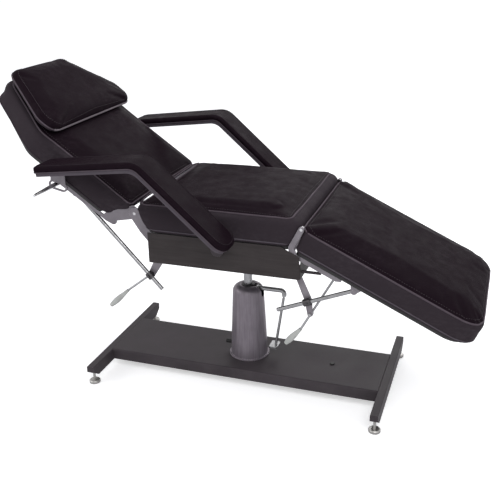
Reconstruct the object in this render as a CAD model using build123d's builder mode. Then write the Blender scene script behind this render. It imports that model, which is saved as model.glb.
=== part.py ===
from build123d import *
import os
from math import acos, atan2, cos, radians, sin, sqrt

os.makedirs("parts", exist_ok=True)

# Driving dimensions in millimetres. X runs from the head end to the foot end, Z is up, and the
# floor is Z = 0. The origin lies on the floor under the middle of the whole couch.
couch_width = 580
pump_x = 14
running_clearance = 0.06
soft_gap = 0.4

# Base: a folded plate between two folded crossbars on four levelling feet
base_top = 78
base_plate_length = 1054
base_plate_width = 280
base_plate_lip = 43
base_sheet = 3
base_edge_radius = 6
crossbar_width = 29
crossbar_length = 582
crossbar_depth = 48
crossbar_chamfer_length = 34
crossbar_chamfer_height = 24
foot_inset = 24
foot_disc_radius = 21
foot_disc_height = 12
foot_rim_chamfer = 3
foot_stud_radius = 5
foot_boss_radius = 9
plate_plug_radius = 6
plate_plug_height = 4
plate_plug_reach = 330

# Pump: a cylinder under a tapered cover with a slotted dome
cover_foot_radius = 71.5
cover_shoulder_radius = 59
cover_shoulder_height = 343
cover_dome_height = 368
cover_mouth_radius = 26
cover_sheet = 2.5
cover_flange_radius = 77
cover_flange_height = 4
cylinder_radius = 32
cylinder_collar_radius = 24
cylinder_top = 372
cylinder_floor = 12
lever_slot_width = 30
lever_slot_depth = 34
pump_bolt_radius = 4
pump_bolt_head_radius = 7
pump_bolt_head_height = 5
pump_bolt_count = 4
stub_radius = 8
stub_bore_radius = 4.5
stub_reach = 94
stub_gap = 0.5
stub_height = 112

# Pump lever: a pipe pivoted at the pump's head, and a hanging rod with a foot tread
lever_pivot_reach = 37
lever_pivot_height = 358
lever_pivot_radius = 4
lever_ear_thickness = 4
lever_ear_radius = 8
lever_pipe_radius = 8.5
lever_pipe_reach = 142
lever_pipe_hub_width = 12
lever_elbow_drop = 14
rod_radius = 5
rod_eye_radius = 8
rod_foot_reach = 108
rod_foot_height = 128
tread_length = 34
tread_overhang = 11.5
tread_width = 52
tread_thickness = 9
tread_edge_radius = 3.5

# Lift column and seat frame
column_radius = 16
column_foot_height = 250
column_plate_height = 600
column_plate_length = 190
column_plate_width = 160
column_plate_thickness = 8
column_plate_corner = 12
beam_height = 34
beam_spacing = 200
beam_width = 30
beam_wall = 3
rail_spacing = 150
rail_width = 25
column_bolt_head_radius = 9
column_bolt_head_height = 6

# Skirt: a folded box under the seat, flush with the cushions
skirt_rear_reach = 264
skirt_front_reach = 279
skirt_width = 570
skirt_depth = 100
skirt_sheet = 3
skirt_edge_radius = 8
skirt_overlap = 9

# Upholstery shared by the three sections
board_thickness = 10
board_inset = 6
board_corner = 14
piping_height_share = 0.86

# Seat cushion, measured from the pump axis
seat_rear_top_reach = 300
seat_rear_foot_reach = 244
seat_front_top_reach = 232
seat_front_nose_reach = 273
seat_front_foot_reach = 246
seat_thickness = 126
seat_side_tuck = 6
seat_crown_inset = 48
seat_corner_radius = 24

# Backrest: hinge place from the pump axis and floor, and its own frame from that hinge
back_hinge_reach = 306
back_hinge_rise = 72
back_recline = 36
back_hinge_over_underside = 86
back_thickness = 120
back_top_start = 22
back_foot_start = 98
back_length = 675
back_taper_start = 430
back_head_width = 300
back_head_radius = 58
back_taper_radius = 90

# Head pillow strapped over the upper part of the backrest
pillow_thickness = 54
pillow_start = 388
pillow_length = 280
pillow_front_width = 560
pillow_head_width = 320
pillow_front_radius = 34
pillow_head_radius = 50

# Leg rest: hinge place from the pump axis and floor, and its own frame from that hinge
leg_hinge_reach = 281
leg_hinge_rise = 73
leg_slope = 25.5
leg_hinge_over_underside = 86
leg_thickness = 106
leg_start = 1.5
leg_length = 643
leg_foot_radius = 84

# Hinge plates, pins and the pockets that clear them
plate_thickness = 5
plate_gap = 1
hinge_pin_radius = 5
hinge_pin_head_radius = 8
hinge_pin_head_height = 4
back_eye_radius = 20
back_arm_foot_radius = 17
back_arch_run = 12
back_arch_rise = 4
back_arch_radius = 15
back_arch_foot_run = 72
back_arch_foot_rise = -81
back_arch_toe_run = 48
back_arch_toe_radius = 12
back_knee_reach = 277
back_knee_rise = 18
back_knee_radius = 15
back_arm_rail_length = 250
back_arm_rail_height = 18
leg_eye_radius = 9
leg_plate_foot_radius = 14
leg_arm_rail_length = 190
leg_arm_rail_height = 16
pocket_depth = 18
pocket_height = 96

# Struts, their clamps, brackets, levers and grips on the near side
strut_radius = 7
strut_inset = 29
lug_drop = 12
lug_thickness = 4
lug_radius = 11
eye_radius = 10
eye_width = 14
lug_gap = 0.5
lug_pin_radius = 4
back_clamp_reach = 276
back_clamp_drop = 164
back_strut_tail = 66
leg_clamp_reach = 297
leg_clamp_drop = 190
leg_strut_tail = 113
leg_lug_drop = 20
clamp_radius = 12.5
clamp_length = 26
clamp_bolt_radius = 5
bracket_thickness = 5
bracket_tab_height = 16
back_bracket_top_reach = 216
back_bracket_top_width = 38
back_bracket_top_drop = 42
leg_bracket_top_reach = 243
leg_bracket_foot_reach = 303
leg_bracket_foot_drop = 241
leg_bracket_eye_radius = 9
lever_rod_radius = 4
lever_bend_radius = 16
lever_hub_radius = 10
lever_hub_width = 9
back_lever_grip_reach = 380
back_lever_grip_drop = 245
back_lever_end_reach = 456
back_lever_end_drop = 316
leg_lever_grip_reach = 270
leg_lever_grip_drop = 304
leg_lever_end_reach = 217
leg_lever_end_drop = 367
leg_lever_tail_reach = 385
leg_lever_tail_drop = 97
grip_neck_radius = 6
grip_belly_radius = 11
grip_end_radius = 7
stop_bar_radius = 5
stop_bar_drop = 81
stop_bar_reach = 343

# Armrests, measured from the pump axis, and the rod that carries their back ends
arm_gap = 12
arm_width = 120
arm_back_reach = 597
arm_back_rise = 252
arm_bend_reach = 218
arm_bend_rise = 295
arm_front_reach = 78
arm_front_rise = 31
arm_pad_thickness = 20
arm_board_thickness = 14
arm_board_inset = 3
arm_bend_radius = 70
arm_front_radius = 44
arm_back_radius = 18
arm_pad_edge_radius = 8
arm_pivot_reach = -3
arm_pivot_rise = 30
arm_plate_radius = 14
arm_plate_inset = 4
arm_plate_front_angle = 20
arm_plate_back_angle = 40
arm_pin_radius = 5
arm_pin_head_radius = 9
arm_pin_head_height = 4
arm_mount_gap = 7
arm_mount_foot_drop = 37
arm_mount_width = 44
arm_rod_along = 280
arm_rod_radius = 8
arm_rod_tip_radius = 4.5
arm_rod_reach = 436
arm_rod_taper_start = 330
arm_rod_drop = 9
arm_rod_lug_line = 200
arm_rod_lug_width = 12
arm_slot_travel = 20
arm_slot_offset = 13
arm_slot_clearance = 2
arm_slot_wall = 6

# Values worked out from the driving dimensions
beam_floor = column_plate_height + column_plate_thickness
seat_underside = beam_floor + beam_height
back_hinge_height = seat_underside + back_hinge_rise
leg_hinge_height = seat_underside + leg_hinge_rise
back_knee_height = seat_underside + back_knee_rise
back_clamp_height = seat_underside - back_clamp_drop
leg_clamp_height = seat_underside - leg_clamp_drop
back_bracket_top_height = seat_underside - back_bracket_top_drop
leg_bracket_foot_height = seat_underside - leg_bracket_foot_drop
back_lever_grip_height = seat_underside - back_lever_grip_drop
back_lever_end_height = seat_underside - back_lever_end_drop
leg_lever_grip_height = seat_underside - leg_lever_grip_drop
leg_lever_end_height = seat_underside - leg_lever_end_drop
leg_lever_tail_height = seat_underside - leg_lever_tail_drop
stop_bar_height = seat_underside - stop_bar_drop
arm_back_height = seat_underside + arm_back_rise
arm_bend_height = seat_underside + arm_bend_rise
arm_front_height = seat_underside + arm_front_rise
arm_pivot_height = seat_underside + arm_pivot_rise
arm_mount_foot_height = seat_underside - arm_mount_foot_drop
half_width = couch_width / 2
arm_inner = half_width + arm_gap
arm_mount_start = skirt_width / 2 + arm_mount_gap
strut_line = strut_inset - skirt_width / 2
crossbar_reach = (base_plate_length + crossbar_width) / 2
crossbar_floor = base_top - crossbar_depth
foot_spread = crossbar_length / 2 - foot_inset
skirt_floor = seat_underside - skirt_depth
skirt_length = skirt_rear_reach + skirt_front_reach
skirt_middle = pump_x + (skirt_front_reach - skirt_rear_reach) / 2
outer_plate = skirt_width / 2 - skirt_sheet
inner_plate = outer_plate - plate_thickness - plate_gap
back_cosine = cos(radians(back_recline))
back_sine = sin(radians(back_recline))
leg_cosine = cos(radians(leg_slope))
leg_sine = sin(radians(leg_slope))
back_hinge_x = pump_x - back_hinge_reach
leg_hinge_x = pump_x + leg_hinge_reach
back_clamp_x = pump_x - back_clamp_reach
leg_clamp_x = pump_x + leg_clamp_reach
arm_pivot_x = pump_x + arm_pivot_reach
bracket_face = strut_line + clamp_radius + lug_gap
bracket_line = bracket_face + bracket_thickness
lever_line = bracket_line + lever_hub_width / 2 + lug_gap
pocket_width = half_width - inner_plate + plate_thickness + plate_gap + hinge_pin_head_height

seat_frame = Plane(origin=(pump_x, 0, seat_underside), x_dir=(1, 0, 0), z_dir=(0, 0, 1))
back_frame = Plane(
    origin=(back_hinge_x, 0, back_hinge_height),
    x_dir=(-back_cosine, 0, back_sine),
    z_dir=(back_sine, 0, back_cosine),
)
leg_frame = Plane(
    origin=(leg_hinge_x, 0, leg_hinge_height),
    x_dir=(leg_cosine, 0, -leg_sine),
    z_dir=(leg_sine, 0, leg_cosine),
)


def side(y):
    """The upright plane at y, seen from the near side, with X to the right and Z up."""
    return Plane(origin=(0, y, 0), x_dir=(1, 0, 0), z_dir=(0, -1, 0))


def finish(builder, name):
    """Label one finished piece and write it."""
    builder.part.label = name
    export_step(builder.part, "parts/" + name + ".step")


def along(frame, run, rise):
    """The X and Z of a point of a section's own frame."""
    point = frame.from_local_coords(Vector(run, 0, rise))
    return point.X, point.Z


def length_between(first, second):
    return sqrt((second[0] - first[0]) ** 2 + (second[1] - first[1]) ** 2)


def rod_plane(y, first, second):
    """A plane at the first point, facing the second, both given as X and Z at one y."""
    return Plane(
        origin=(first[0], y, first[1]),
        x_dir=(0, 1, 0),
        z_dir=(second[0] - first[0], 0, second[1] - first[1]),
    )


def cushion_outline(start, end, width, corner, taper_start=0, head_width=0, head_radius=0, taper_radius=0):
    """One level of a cushion in plan, tapered towards its far end where that is asked."""
    with BuildLine() as outline:
        if taper_start:
            Polyline(
                (start, -width / 2),
                (taper_start, -width / 2),
                (end, -head_width / 2),
                (end, head_width / 2),
                (taper_start, width / 2),
                (start, width / 2),
                close=True,
            )
        else:
            Polyline(
                (start, -width / 2),
                (end, -width / 2),
                (end, width / 2),
                (start, width / 2),
                close=True,
            )
    make_face(outline.edges())
    points = vertices().sort_by(Axis.X)
    fillet([v for v in points if abs(v.X - start) < soft_gap], radius=corner)
    ends = [v for v in vertices() if abs(v.X - end) < soft_gap]
    fillet(ends, radius=head_radius or corner)
    if taper_start:
        bends = [v for v in vertices() if abs(v.X - taper_start) < soft_gap]
        fillet(bends, radius=taper_radius)


# Pieces of the base
with BuildPart() as base_plate:
    with BuildSketch(Plane.YZ.offset(pump_x - base_plate_length / 2)):
        with Locations((0, base_top - base_plate_lip / 2)):
            RectangleRounded(base_plate_width, base_plate_lip, base_edge_radius)
        with Locations((0, base_top - base_plate_lip + base_edge_radius / 2)):
            Rectangle(base_plate_width, base_edge_radius)
        with Locations((0, base_top - base_sheet - base_plate_lip / 2)):
            Rectangle(base_plate_width - 2 * base_sheet, base_plate_lip, mode=Mode.SUBTRACT)
    extrude(amount=base_plate_length)
    with BuildSketch(Plane.XY.offset(base_top)):
        with Locations((pump_x + plate_plug_reach, 0)):
            Circle(plate_plug_radius)
    extrude(amount=-base_sheet, mode=Mode.SUBTRACT)
    with BuildSketch(Plane.XY.offset(base_top)):
        with Locations((pump_x, 0)):
            with PolarLocations((cylinder_radius + cover_foot_radius) / 2, pump_bolt_count, start_angle=45):
                Circle(pump_bolt_radius)
    extrude(amount=-base_sheet, mode=Mode.SUBTRACT)
finish(base_plate, "base_plate")

with BuildPart() as plate_plug:
    with BuildSketch(Plane.XY.offset(base_top)):
        with Locations((pump_x + plate_plug_reach, 0)):
            Circle(plate_plug_radius + base_sheet)
    extrude(amount=plate_plug_height)
    fillet(plate_plug.faces().sort_by(Axis.Z)[-1].edges(), radius=plate_plug_height / 3)
    with BuildSketch(Plane.XY.offset(base_top)):
        with Locations((pump_x + plate_plug_reach, 0)):
            Circle(plate_plug_radius)
    extrude(amount=-base_sheet)
finish(plate_plug, "plate_plug")


def crossbar(name, direction):
    """A folded channel across one end of the base, chamfered below at its ends, with foot bosses."""
    middle = pump_x + direction * crossbar_reach
    half = crossbar_length / 2
    with BuildPart() as bar:
        with BuildSketch(Plane.YZ.offset(middle - crossbar_width / 2)):
            with BuildLine():
                Polyline(
                    (-half, base_top),
                    (-half, base_top - crossbar_chamfer_height),
                    (-half + crossbar_chamfer_length, crossbar_floor),
                    (half - crossbar_chamfer_length, crossbar_floor),
                    (half, base_top - crossbar_chamfer_height),
                    (half, base_top),
                    close=True,
                )
            make_face()
        extrude(amount=crossbar_width)
        fillet(bar.edges().filter_by(Axis.Y).sort_by(Axis.Z)[-2:], radius=base_sheet)
        with BuildSketch(Plane.XY.offset(base_top - base_sheet)):
            with Locations((middle, 0)):
                Rectangle(crossbar_width - 2 * base_sheet, crossbar_length - 2 * base_sheet)
        extrude(amount=-crossbar_depth, mode=Mode.SUBTRACT)
        with BuildSketch(Plane.XY.offset(base_top - base_sheet)):
            with Locations((middle, -foot_spread), (middle, foot_spread)):
                Circle(foot_boss_radius)
        extrude(amount=crossbar_chamfer_length - crossbar_depth)
        with BuildSketch(Plane.XY.offset(crossbar_floor)):
            with Locations((middle, -foot_spread), (middle, foot_spread)):
                Circle(foot_stud_radius + running_clearance)
        extrude(amount=crossbar_depth - base_sheet, mode=Mode.SUBTRACT)
    finish(bar, name)


crossbar("crossbar_head", -1)
crossbar("crossbar_foot", 1)


def levelling_foot(name, direction, sideways):
    """A round pad with a threaded stud that turns in its crossbar's boss."""
    place = (pump_x + direction * crossbar_reach, sideways * foot_spread)
    with BuildPart() as foot:
        with BuildSketch():
            with Locations(place):
                Circle(foot_disc_radius)
        extrude(amount=foot_disc_height)
        chamfer(foot.faces().sort_by(Axis.Z)[-1].edges(), length=foot_rim_chamfer)
        fillet(foot.faces().sort_by(Axis.Z)[0].edges(), radius=foot_rim_chamfer / 3)
        with BuildSketch(Plane.XY.offset(foot_disc_height)):
            with Locations(place):
                Circle(foot_stud_radius)
        extrude(amount=base_top - base_sheet - foot_disc_height - foot_stud_radius)
    finish(foot, name)


levelling_foot("foot_head_near", -1, -1)
levelling_foot("foot_head_far", -1, 1)
levelling_foot("foot_foot_near", 1, -1)
levelling_foot("foot_foot_far", 1, 1)

# Pieces of the pump
pump_axis = Plane(origin=(pump_x, 0, 0), x_dir=(1, 0, 0), z_dir=(0, -1, 0))
with BuildPart() as pump_cover:
    with BuildSketch(pump_axis):
        with BuildLine():
            flange_top = base_top + cover_flange_height
            foot_out = Line((cover_flange_radius, base_top), (cover_flange_radius, flange_top))
            ledge = Line(foot_out @ 1, (cover_foot_radius, flange_top))
            wall = Line(ledge @ 1, (cover_shoulder_radius, cover_shoulder_height))
            dome = TangentArc(wall @ 1, (cover_mouth_radius, cover_dome_height), tangent=wall % 1)
            lip = Line(dome @ 1, (cover_mouth_radius, cover_dome_height - cover_sheet))
            inner_dome = TangentArc(
                (cover_shoulder_radius - cover_sheet, cover_shoulder_height),
                lip @ 1,
                tangent=wall % 1,
            )
            inner_wall = Line(inner_dome @ 0, (cover_foot_radius - cover_sheet, base_top))
            Line(inner_wall @ 1, foot_out @ 0)
        make_face()
    revolve(axis=Axis((pump_x, 0, 0), (0, 0, 1)))
    with BuildSketch(Plane.XY.offset(cover_shoulder_height - lever_slot_depth / 2)):
        with Locations((pump_x + (cover_mouth_radius + cover_foot_radius) / 2, 0)):
            Rectangle(cover_foot_radius, lever_slot_width)
    extrude(amount=lever_slot_depth * 2, mode=Mode.SUBTRACT)
    with BuildSketch(Plane.YZ.offset(pump_x)):
        with Locations((0, stub_height)):
            Circle(stub_radius + stub_gap)
    extrude(amount=-stub_reach, mode=Mode.SUBTRACT)
finish(pump_cover, "pump_cover")

with BuildPart() as pump_cylinder:
    with BuildSketch(Plane.XY.offset(base_top)):
        with Locations((pump_x, 0)):
            Circle(cylinder_radius)
    extrude(amount=cover_shoulder_height - base_top)
    with BuildSketch(Plane.XY.offset(cover_shoulder_height)):
        with Locations((pump_x, 0)):
            Circle(cylinder_collar_radius)
    extrude(amount=cylinder_top - cover_shoulder_height)
    chamfer(pump_cylinder.faces().sort_by(Axis.Z)[-1].edges(), length=cover_sheet)
    with BuildSketch(side(lever_pipe_hub_width / 2 + plate_gap)):
        with BuildLine():
            ear_foot = lever_pivot_height - lever_ear_radius * 3
            Polyline(
                (pump_x, ear_foot),
                (pump_x + lever_pivot_reach, lever_pivot_height - lever_ear_radius),
                (pump_x + lever_pivot_reach, lever_pivot_height + lever_ear_radius),
                (pump_x, lever_pivot_height + lever_ear_radius),
                close=True,
            )
        make_face()
        with Locations((pump_x + lever_pivot_reach, lever_pivot_height)):
            Circle(lever_ear_radius)
            Circle(lever_pivot_radius, mode=Mode.SUBTRACT)
    extrude(amount=-lever_ear_thickness)
    mirror(about=Plane.XZ)
    with BuildSketch(Plane.XY.offset(cylinder_top)):
        with Locations((pump_x, 0)):
            Circle(column_radius + running_clearance)
    extrude(amount=base_top + cylinder_floor - cylinder_top, mode=Mode.SUBTRACT)
finish(pump_cylinder, "pump_cylinder")

with BuildPart() as lever_pivot_pin:
    with BuildSketch(side(lever_pipe_hub_width / 2 + plate_gap + lever_ear_thickness)):
        with Locations((pump_x + lever_pivot_reach, lever_pivot_height)):
            Circle(lever_pivot_radius)
    extrude(amount=lever_pipe_hub_width + 2 * (plate_gap + lever_ear_thickness))
finish(lever_pivot_pin, "lever_pivot_pin")

with BuildPart() as pump_bolts:
    with BuildSketch(Plane.XY.offset(base_top)):
        with Locations((pump_x, 0)):
            with PolarLocations((cylinder_radius + cover_foot_radius) / 2, pump_bolt_count, start_angle=45):
                RegularPolygon(pump_bolt_head_radius, 6)
    extrude(amount=pump_bolt_head_height)
    with BuildSketch(Plane.XY.offset(base_top)):
        with Locations((pump_x, 0)):
            with PolarLocations((cylinder_radius + cover_foot_radius) / 2, pump_bolt_count, start_angle=45):
                Circle(pump_bolt_radius)
    extrude(amount=-base_sheet * 2)
finish(pump_bolts, "pump_bolts")

with BuildPart() as release_stub:
    with BuildSketch(Plane.YZ.offset(pump_x - stub_reach)):
        with Locations((0, stub_height)):
            Circle(stub_radius)
    extrude(until=Until.NEXT, target=pump_cylinder.part)
    with BuildSketch(Plane.YZ.offset(pump_x - stub_reach)):
        with Locations((0, stub_height)):
            Circle(stub_bore_radius)
    extrude(amount=stub_radius * 2, mode=Mode.SUBTRACT)
finish(release_stub, "release_stub")

# Pump lever, hanging rod and tread
pipe_end = (pump_x + lever_pipe_reach, lever_pivot_height)
elbow_end = (pump_x + lever_pipe_reach, lever_pivot_height - lever_elbow_drop)
with BuildPart() as pump_lever:
    with BuildLine() as pipe_path:
        FilletPolyline(
            (pump_x + lever_pivot_reach, 0, lever_pivot_height),
            (pipe_end[0], 0, pipe_end[1]),
            (elbow_end[0], 0, elbow_end[1] - lever_pipe_radius),
            radius=lever_elbow_drop,
        )
    with BuildSketch(Plane.YZ.offset(pump_x + lever_pivot_reach)):
        with Locations((0, lever_pivot_height)):
            Circle(lever_pipe_radius)
    sweep(path=pipe_path.wires()[0])
    with BuildSketch(side(lever_pipe_hub_width / 2)):
        with Locations((pump_x + lever_pivot_reach, lever_pivot_height)):
            Circle(lever_pipe_radius)
    extrude(amount=lever_pipe_hub_width)
    with BuildSketch(side(lever_pipe_radius)):
        with Locations((pump_x + lever_pivot_reach, lever_pivot_height)):
            Rectangle(lever_pipe_radius * 5, lever_pipe_radius * 2 + plate_gap)
    extrude(amount=lever_pipe_radius - lever_pipe_hub_width / 2, mode=Mode.SUBTRACT)
    with BuildSketch(side(-lever_pipe_hub_width / 2)):
        with Locations((pump_x + lever_pivot_reach, lever_pivot_height)):
            Rectangle(lever_pipe_radius * 5, lever_pipe_radius * 2 + plate_gap)
    extrude(amount=lever_pipe_radius, mode=Mode.SUBTRACT)
    with BuildSketch(side(lever_pipe_radius)):
        with Locations((pump_x + lever_pivot_reach, lever_pivot_height)):
            Circle(lever_pivot_radius + running_clearance)
    extrude(amount=lever_pipe_radius * 2, mode=Mode.SUBTRACT)
    with BuildSketch(side(lever_pipe_radius)):
        with Locations(elbow_end):
            Circle(rod_radius)
    extrude(amount=lever_pipe_radius * 2, mode=Mode.SUBTRACT)
    with BuildSketch(Plane.XY.offset(elbow_end[1] - lever_pipe_radius)):
        with Locations((elbow_end[0], 0)):
            Rectangle(lever_pipe_radius * 2 + plate_gap, rod_eye_radius)
    extrude(amount=lever_pipe_radius * 2, mode=Mode.SUBTRACT)
finish(pump_lever, "pump_lever")

rod_half = rod_eye_radius / 2 - plate_gap / 2
rod_foot = (pump_x + rod_foot_reach, rod_foot_height)
with BuildPart() as pedal_rod:
    with BuildSketch(side(rod_half)):
        with Locations(elbow_end):
            Circle(rod_eye_radius)
    extrude(amount=2 * rod_half)
    with BuildSketch(rod_plane(0, elbow_end, rod_foot)):
        Circle(rod_half)
    extrude(amount=lever_pipe_radius * 2)
    neck = lever_pipe_radius * 2
    with BuildSketch(rod_plane(0, elbow_end, rod_foot).offset(neck)):
        Circle(rod_radius)
    extrude(amount=length_between(elbow_end, rod_foot) - neck)
    with BuildSketch(side(lever_pipe_radius)):
        with Locations(elbow_end):
            Circle(rod_radius - running_clearance)
    extrude(amount=lever_pipe_radius * 2)
finish(pedal_rod, "pedal_rod")

with BuildPart() as foot_tread:
    with BuildSketch(Plane.XY.offset(rod_foot_height - tread_thickness)):
        with Locations((rod_foot[0] - tread_length / 2 + tread_overhang, 0)):
            RectangleRounded(tread_length, tread_width, tread_edge_radius * 2)
    extrude(amount=tread_thickness)
    fillet(foot_tread.faces().sort_by(Axis.Z)[-1].edges(), radius=tread_edge_radius / 2)
    with BuildSketch(rod_plane(0, elbow_end, rod_foot)):
        Circle(rod_radius)
    extrude(amount=length_between(elbow_end, rod_foot), mode=Mode.SUBTRACT)
finish(foot_tread, "foot_tread")

# Lift column and the seat frame that stands on it
with BuildPart() as lift_column:
    with BuildSketch(Plane.XY.offset(column_foot_height)):
        with Locations((pump_x, 0)):
            Circle(column_radius)
    extrude(amount=column_plate_height - column_foot_height)
    chamfer(lift_column.faces().sort_by(Axis.Z)[0].edges(), length=cover_sheet)
    with BuildSketch(Plane.XY.offset(column_plate_height)):
        with Locations((pump_x, 0)):
            RectangleRounded(column_plate_length, column_plate_width, column_plate_corner)
    extrude(amount=column_plate_thickness)
finish(lift_column, "lift_column")

with BuildPart() as seat_beams:
    with BuildSketch(side(skirt_width / 2 - skirt_sheet)):
        with Locations((pump_x, beam_floor + beam_height / 2)):
            with GridLocations(beam_spacing, 0, 2, 1):
                Rectangle(beam_width, beam_height)
                Rectangle(beam_width - 2 * beam_wall, beam_height - 2 * beam_wall, mode=Mode.SUBTRACT)
    extrude(amount=skirt_width - 2 * skirt_sheet)
finish(seat_beams, "seat_beams")

with BuildPart() as seat_rails:
    with BuildSketch(Plane.YZ.offset(pump_x - (beam_spacing - beam_width) / 2)):
        with Locations((0, beam_floor + beam_height / 2)):
            with GridLocations(rail_spacing, 0, 2, 1):
                Rectangle(rail_width, beam_height)
                Rectangle(rail_width - 2 * beam_wall, beam_height - 2 * beam_wall, mode=Mode.SUBTRACT)
    extrude(amount=beam_spacing - beam_width)
finish(seat_rails, "seat_rails")

with BuildPart() as column_bolts:
    with BuildSketch(Plane.XY.offset(column_plate_height)):
        with Locations((pump_x, 0)):
            with GridLocations(column_plate_length - column_bolt_head_radius * 4, rail_spacing, 2, 2):
                RegularPolygon(column_bolt_head_radius, 6)
    extrude(amount=-column_bolt_head_height)
finish(column_bolts, "column_bolts")

with BuildPart() as skirt:
    with BuildSketch(Plane.XY.offset(skirt_floor)):
        with Locations((skirt_middle, 0)):
            RectangleRounded(skirt_length, skirt_width, skirt_edge_radius)
            RectangleRounded(
                skirt_length - 2 * skirt_sheet,
                skirt_width - 2 * skirt_sheet,
                skirt_edge_radius - skirt_sheet,
                mode=Mode.SUBTRACT,
            )
    extrude(amount=skirt_depth + skirt_overlap)
    with BuildSketch(side(half_width)):
        line_drop = -leg_hinge_over_underside - plate_gap
        with BuildLine() as outline:
            Polyline(
                along(leg_frame, -leg_hinge_over_underside, line_drop),
                along(leg_frame, leg_hinge_over_underside, line_drop),
                along(leg_frame, leg_hinge_over_underside, 0),
                along(leg_frame, -leg_hinge_over_underside, 0),
                close=True,
            )
        make_face(outline.edges())
    extrude(amount=couch_width, mode=Mode.SUBTRACT)
    notch_line = (outer_plate + inner_plate - plate_thickness) / 2
    for wall, depth in (
        (pump_x - skirt_rear_reach, back_arm_foot_radius * 4),
        (pump_x + skirt_front_reach, leg_arm_rail_height * 3),
    ):
        with BuildSketch(Plane.XY.offset(seat_underside + skirt_overlap)):
            with Locations((wall, -notch_line), (wall, notch_line)):
                Rectangle(skirt_sheet * 6, outer_plate - inner_plate + plate_thickness + plate_gap * 2)
        extrude(amount=-depth - skirt_overlap, mode=Mode.SUBTRACT)
finish(skirt, "skirt")


def board(name, frame, rise, start, end, **taper):
    """A plywood panel under a cushion, in the section's own frame."""
    with BuildPart() as panel:
        with BuildSketch(frame.offset(rise)):
            width = couch_width - 2 * (seat_side_tuck + board_inset)
            cushion_outline(start, end, width, board_corner, **taper)
        extrude(amount=board_thickness)
    return panel


seat_board = board(
    "seat_board",
    seat_frame,
    0,
    -seat_rear_foot_reach + board_inset,
    seat_front_foot_reach - board_inset,
)
finish(seat_board, "seat_board")

# One level of the seat cushion for each share of its height: rear, front, width inset, corner
seat_level_shares = [0.0, 0.3, 0.55, 0.8, 0.92, 1.0]
seat_foot = board_thickness
seat_rise = seat_thickness - board_thickness
seat_front = [
    seat_front_foot_reach,
    seat_front_nose_reach - seat_corner_radius / 2,
    seat_front_nose_reach,
    seat_front_nose_reach - seat_corner_radius / 2,
    seat_front_top_reach,
    seat_front_top_reach - seat_crown_inset,
]
seat_crown = seat_crown_inset + seat_corner_radius
seat_insets = [seat_side_tuck, 0, 0, seat_side_tuck / 2, seat_corner_radius, seat_crown]
with BuildPart() as seat_cushion:
    for share, front, inset in zip(seat_level_shares, seat_front, seat_insets):
        lean = seat_rear_top_reach - seat_rear_foot_reach
        rear = -seat_rear_foot_reach - lean * min(share / piping_height_share, 1) + inset
        with BuildSketch(seat_frame.offset(seat_foot + seat_rise * share)):
            cushion_outline(rear, front, couch_width - 2 * inset, seat_corner_radius)
    loft()
    for direction in (-1, 1):
        with BuildSketch(side(direction * half_width)):
            with BuildLine():
                foot = (pump_x + seat_front_foot_reach, seat_underside)
                crown = (leg_hinge_x, leg_hinge_height + leg_eye_radius + soft_gap * 4)
                Polyline(
                    (foot[0] - pocket_depth, foot[1]),
                    (crown[0] - pocket_depth, crown[1]),
                    (crown[0] + leg_eye_radius, crown[1] + leg_eye_radius),
                    (crown[0] + pocket_height, foot[1]),
                    close=True,
                )
            make_face()
        extrude(amount=direction * pocket_width, mode=Mode.SUBTRACT)
finish(seat_cushion, "seat_cushion")

# Backrest panel, cushion and pillow
back_board = board(
    "back_board",
    back_frame,
    -back_hinge_over_underside,
    back_foot_start + board_inset,
    back_length - board_inset * 3,
    taper_start=back_taper_start,
    head_width=back_head_width - 2 * (seat_side_tuck + board_inset),
    head_radius=back_head_radius,
    taper_radius=back_taper_radius,
)
finish(back_board, "back_board")

back_level_shares = [0.0, 0.3, 0.6, 0.84, 0.94, 1.0]
back_rise = back_thickness - board_thickness
back_foot = board_thickness - back_hinge_over_underside
back_insets = [seat_side_tuck, 0, 0, seat_side_tuck / 2, seat_corner_radius * 0.8, seat_crown_inset]
with BuildPart() as back_cushion:
    for share, inset in zip(back_level_shares, back_insets):
        rise_share = min(share / piping_height_share, 1)
        start = back_foot_start + (back_top_start - back_foot_start) * rise_share + inset
        with BuildSketch(back_frame.offset(back_foot + back_rise * share)):
            cushion_outline(
                start,
                back_length - inset,
                couch_width - 2 * inset,
                seat_corner_radius,
                taper_start=back_taper_start,
                head_width=back_head_width - 2 * inset,
                head_radius=back_head_radius,
                taper_radius=back_taper_radius,
            )
    loft()
finish(back_cushion, "back_cushion")

pillow_level_shares = [0.0, 0.3, 0.62, 0.88, 1.0]
pillow_insets = [pillow_thickness / 6, 0, pillow_thickness / 18, pillow_thickness / 3.4, pillow_thickness]
pillow_foot = back_foot + back_rise + soft_gap
with BuildPart() as pillow:
    for share, inset in zip(pillow_level_shares, pillow_insets):
        with BuildSketch(back_frame.offset(pillow_foot + pillow_thickness * share)):
            cushion_outline(
                pillow_start + inset,
                pillow_start + pillow_length - inset,
                pillow_front_width - 2 * inset,
                pillow_front_radius,
                taper_start=pillow_start + pillow_front_radius * 2 + inset,
                head_width=pillow_head_width - 2 * inset,
                head_radius=pillow_head_radius,
                taper_radius=pillow_front_radius,
            )
    loft()
finish(pillow, "pillow")

# Leg rest panel and cushion
leg_board = board(
    "leg_board",
    leg_frame,
    -leg_hinge_over_underside,
    leg_start + pocket_depth,
    leg_length - board_inset * 3,
    head_width=0,
    head_radius=leg_foot_radius,
)
finish(leg_board, "leg_board")

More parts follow.
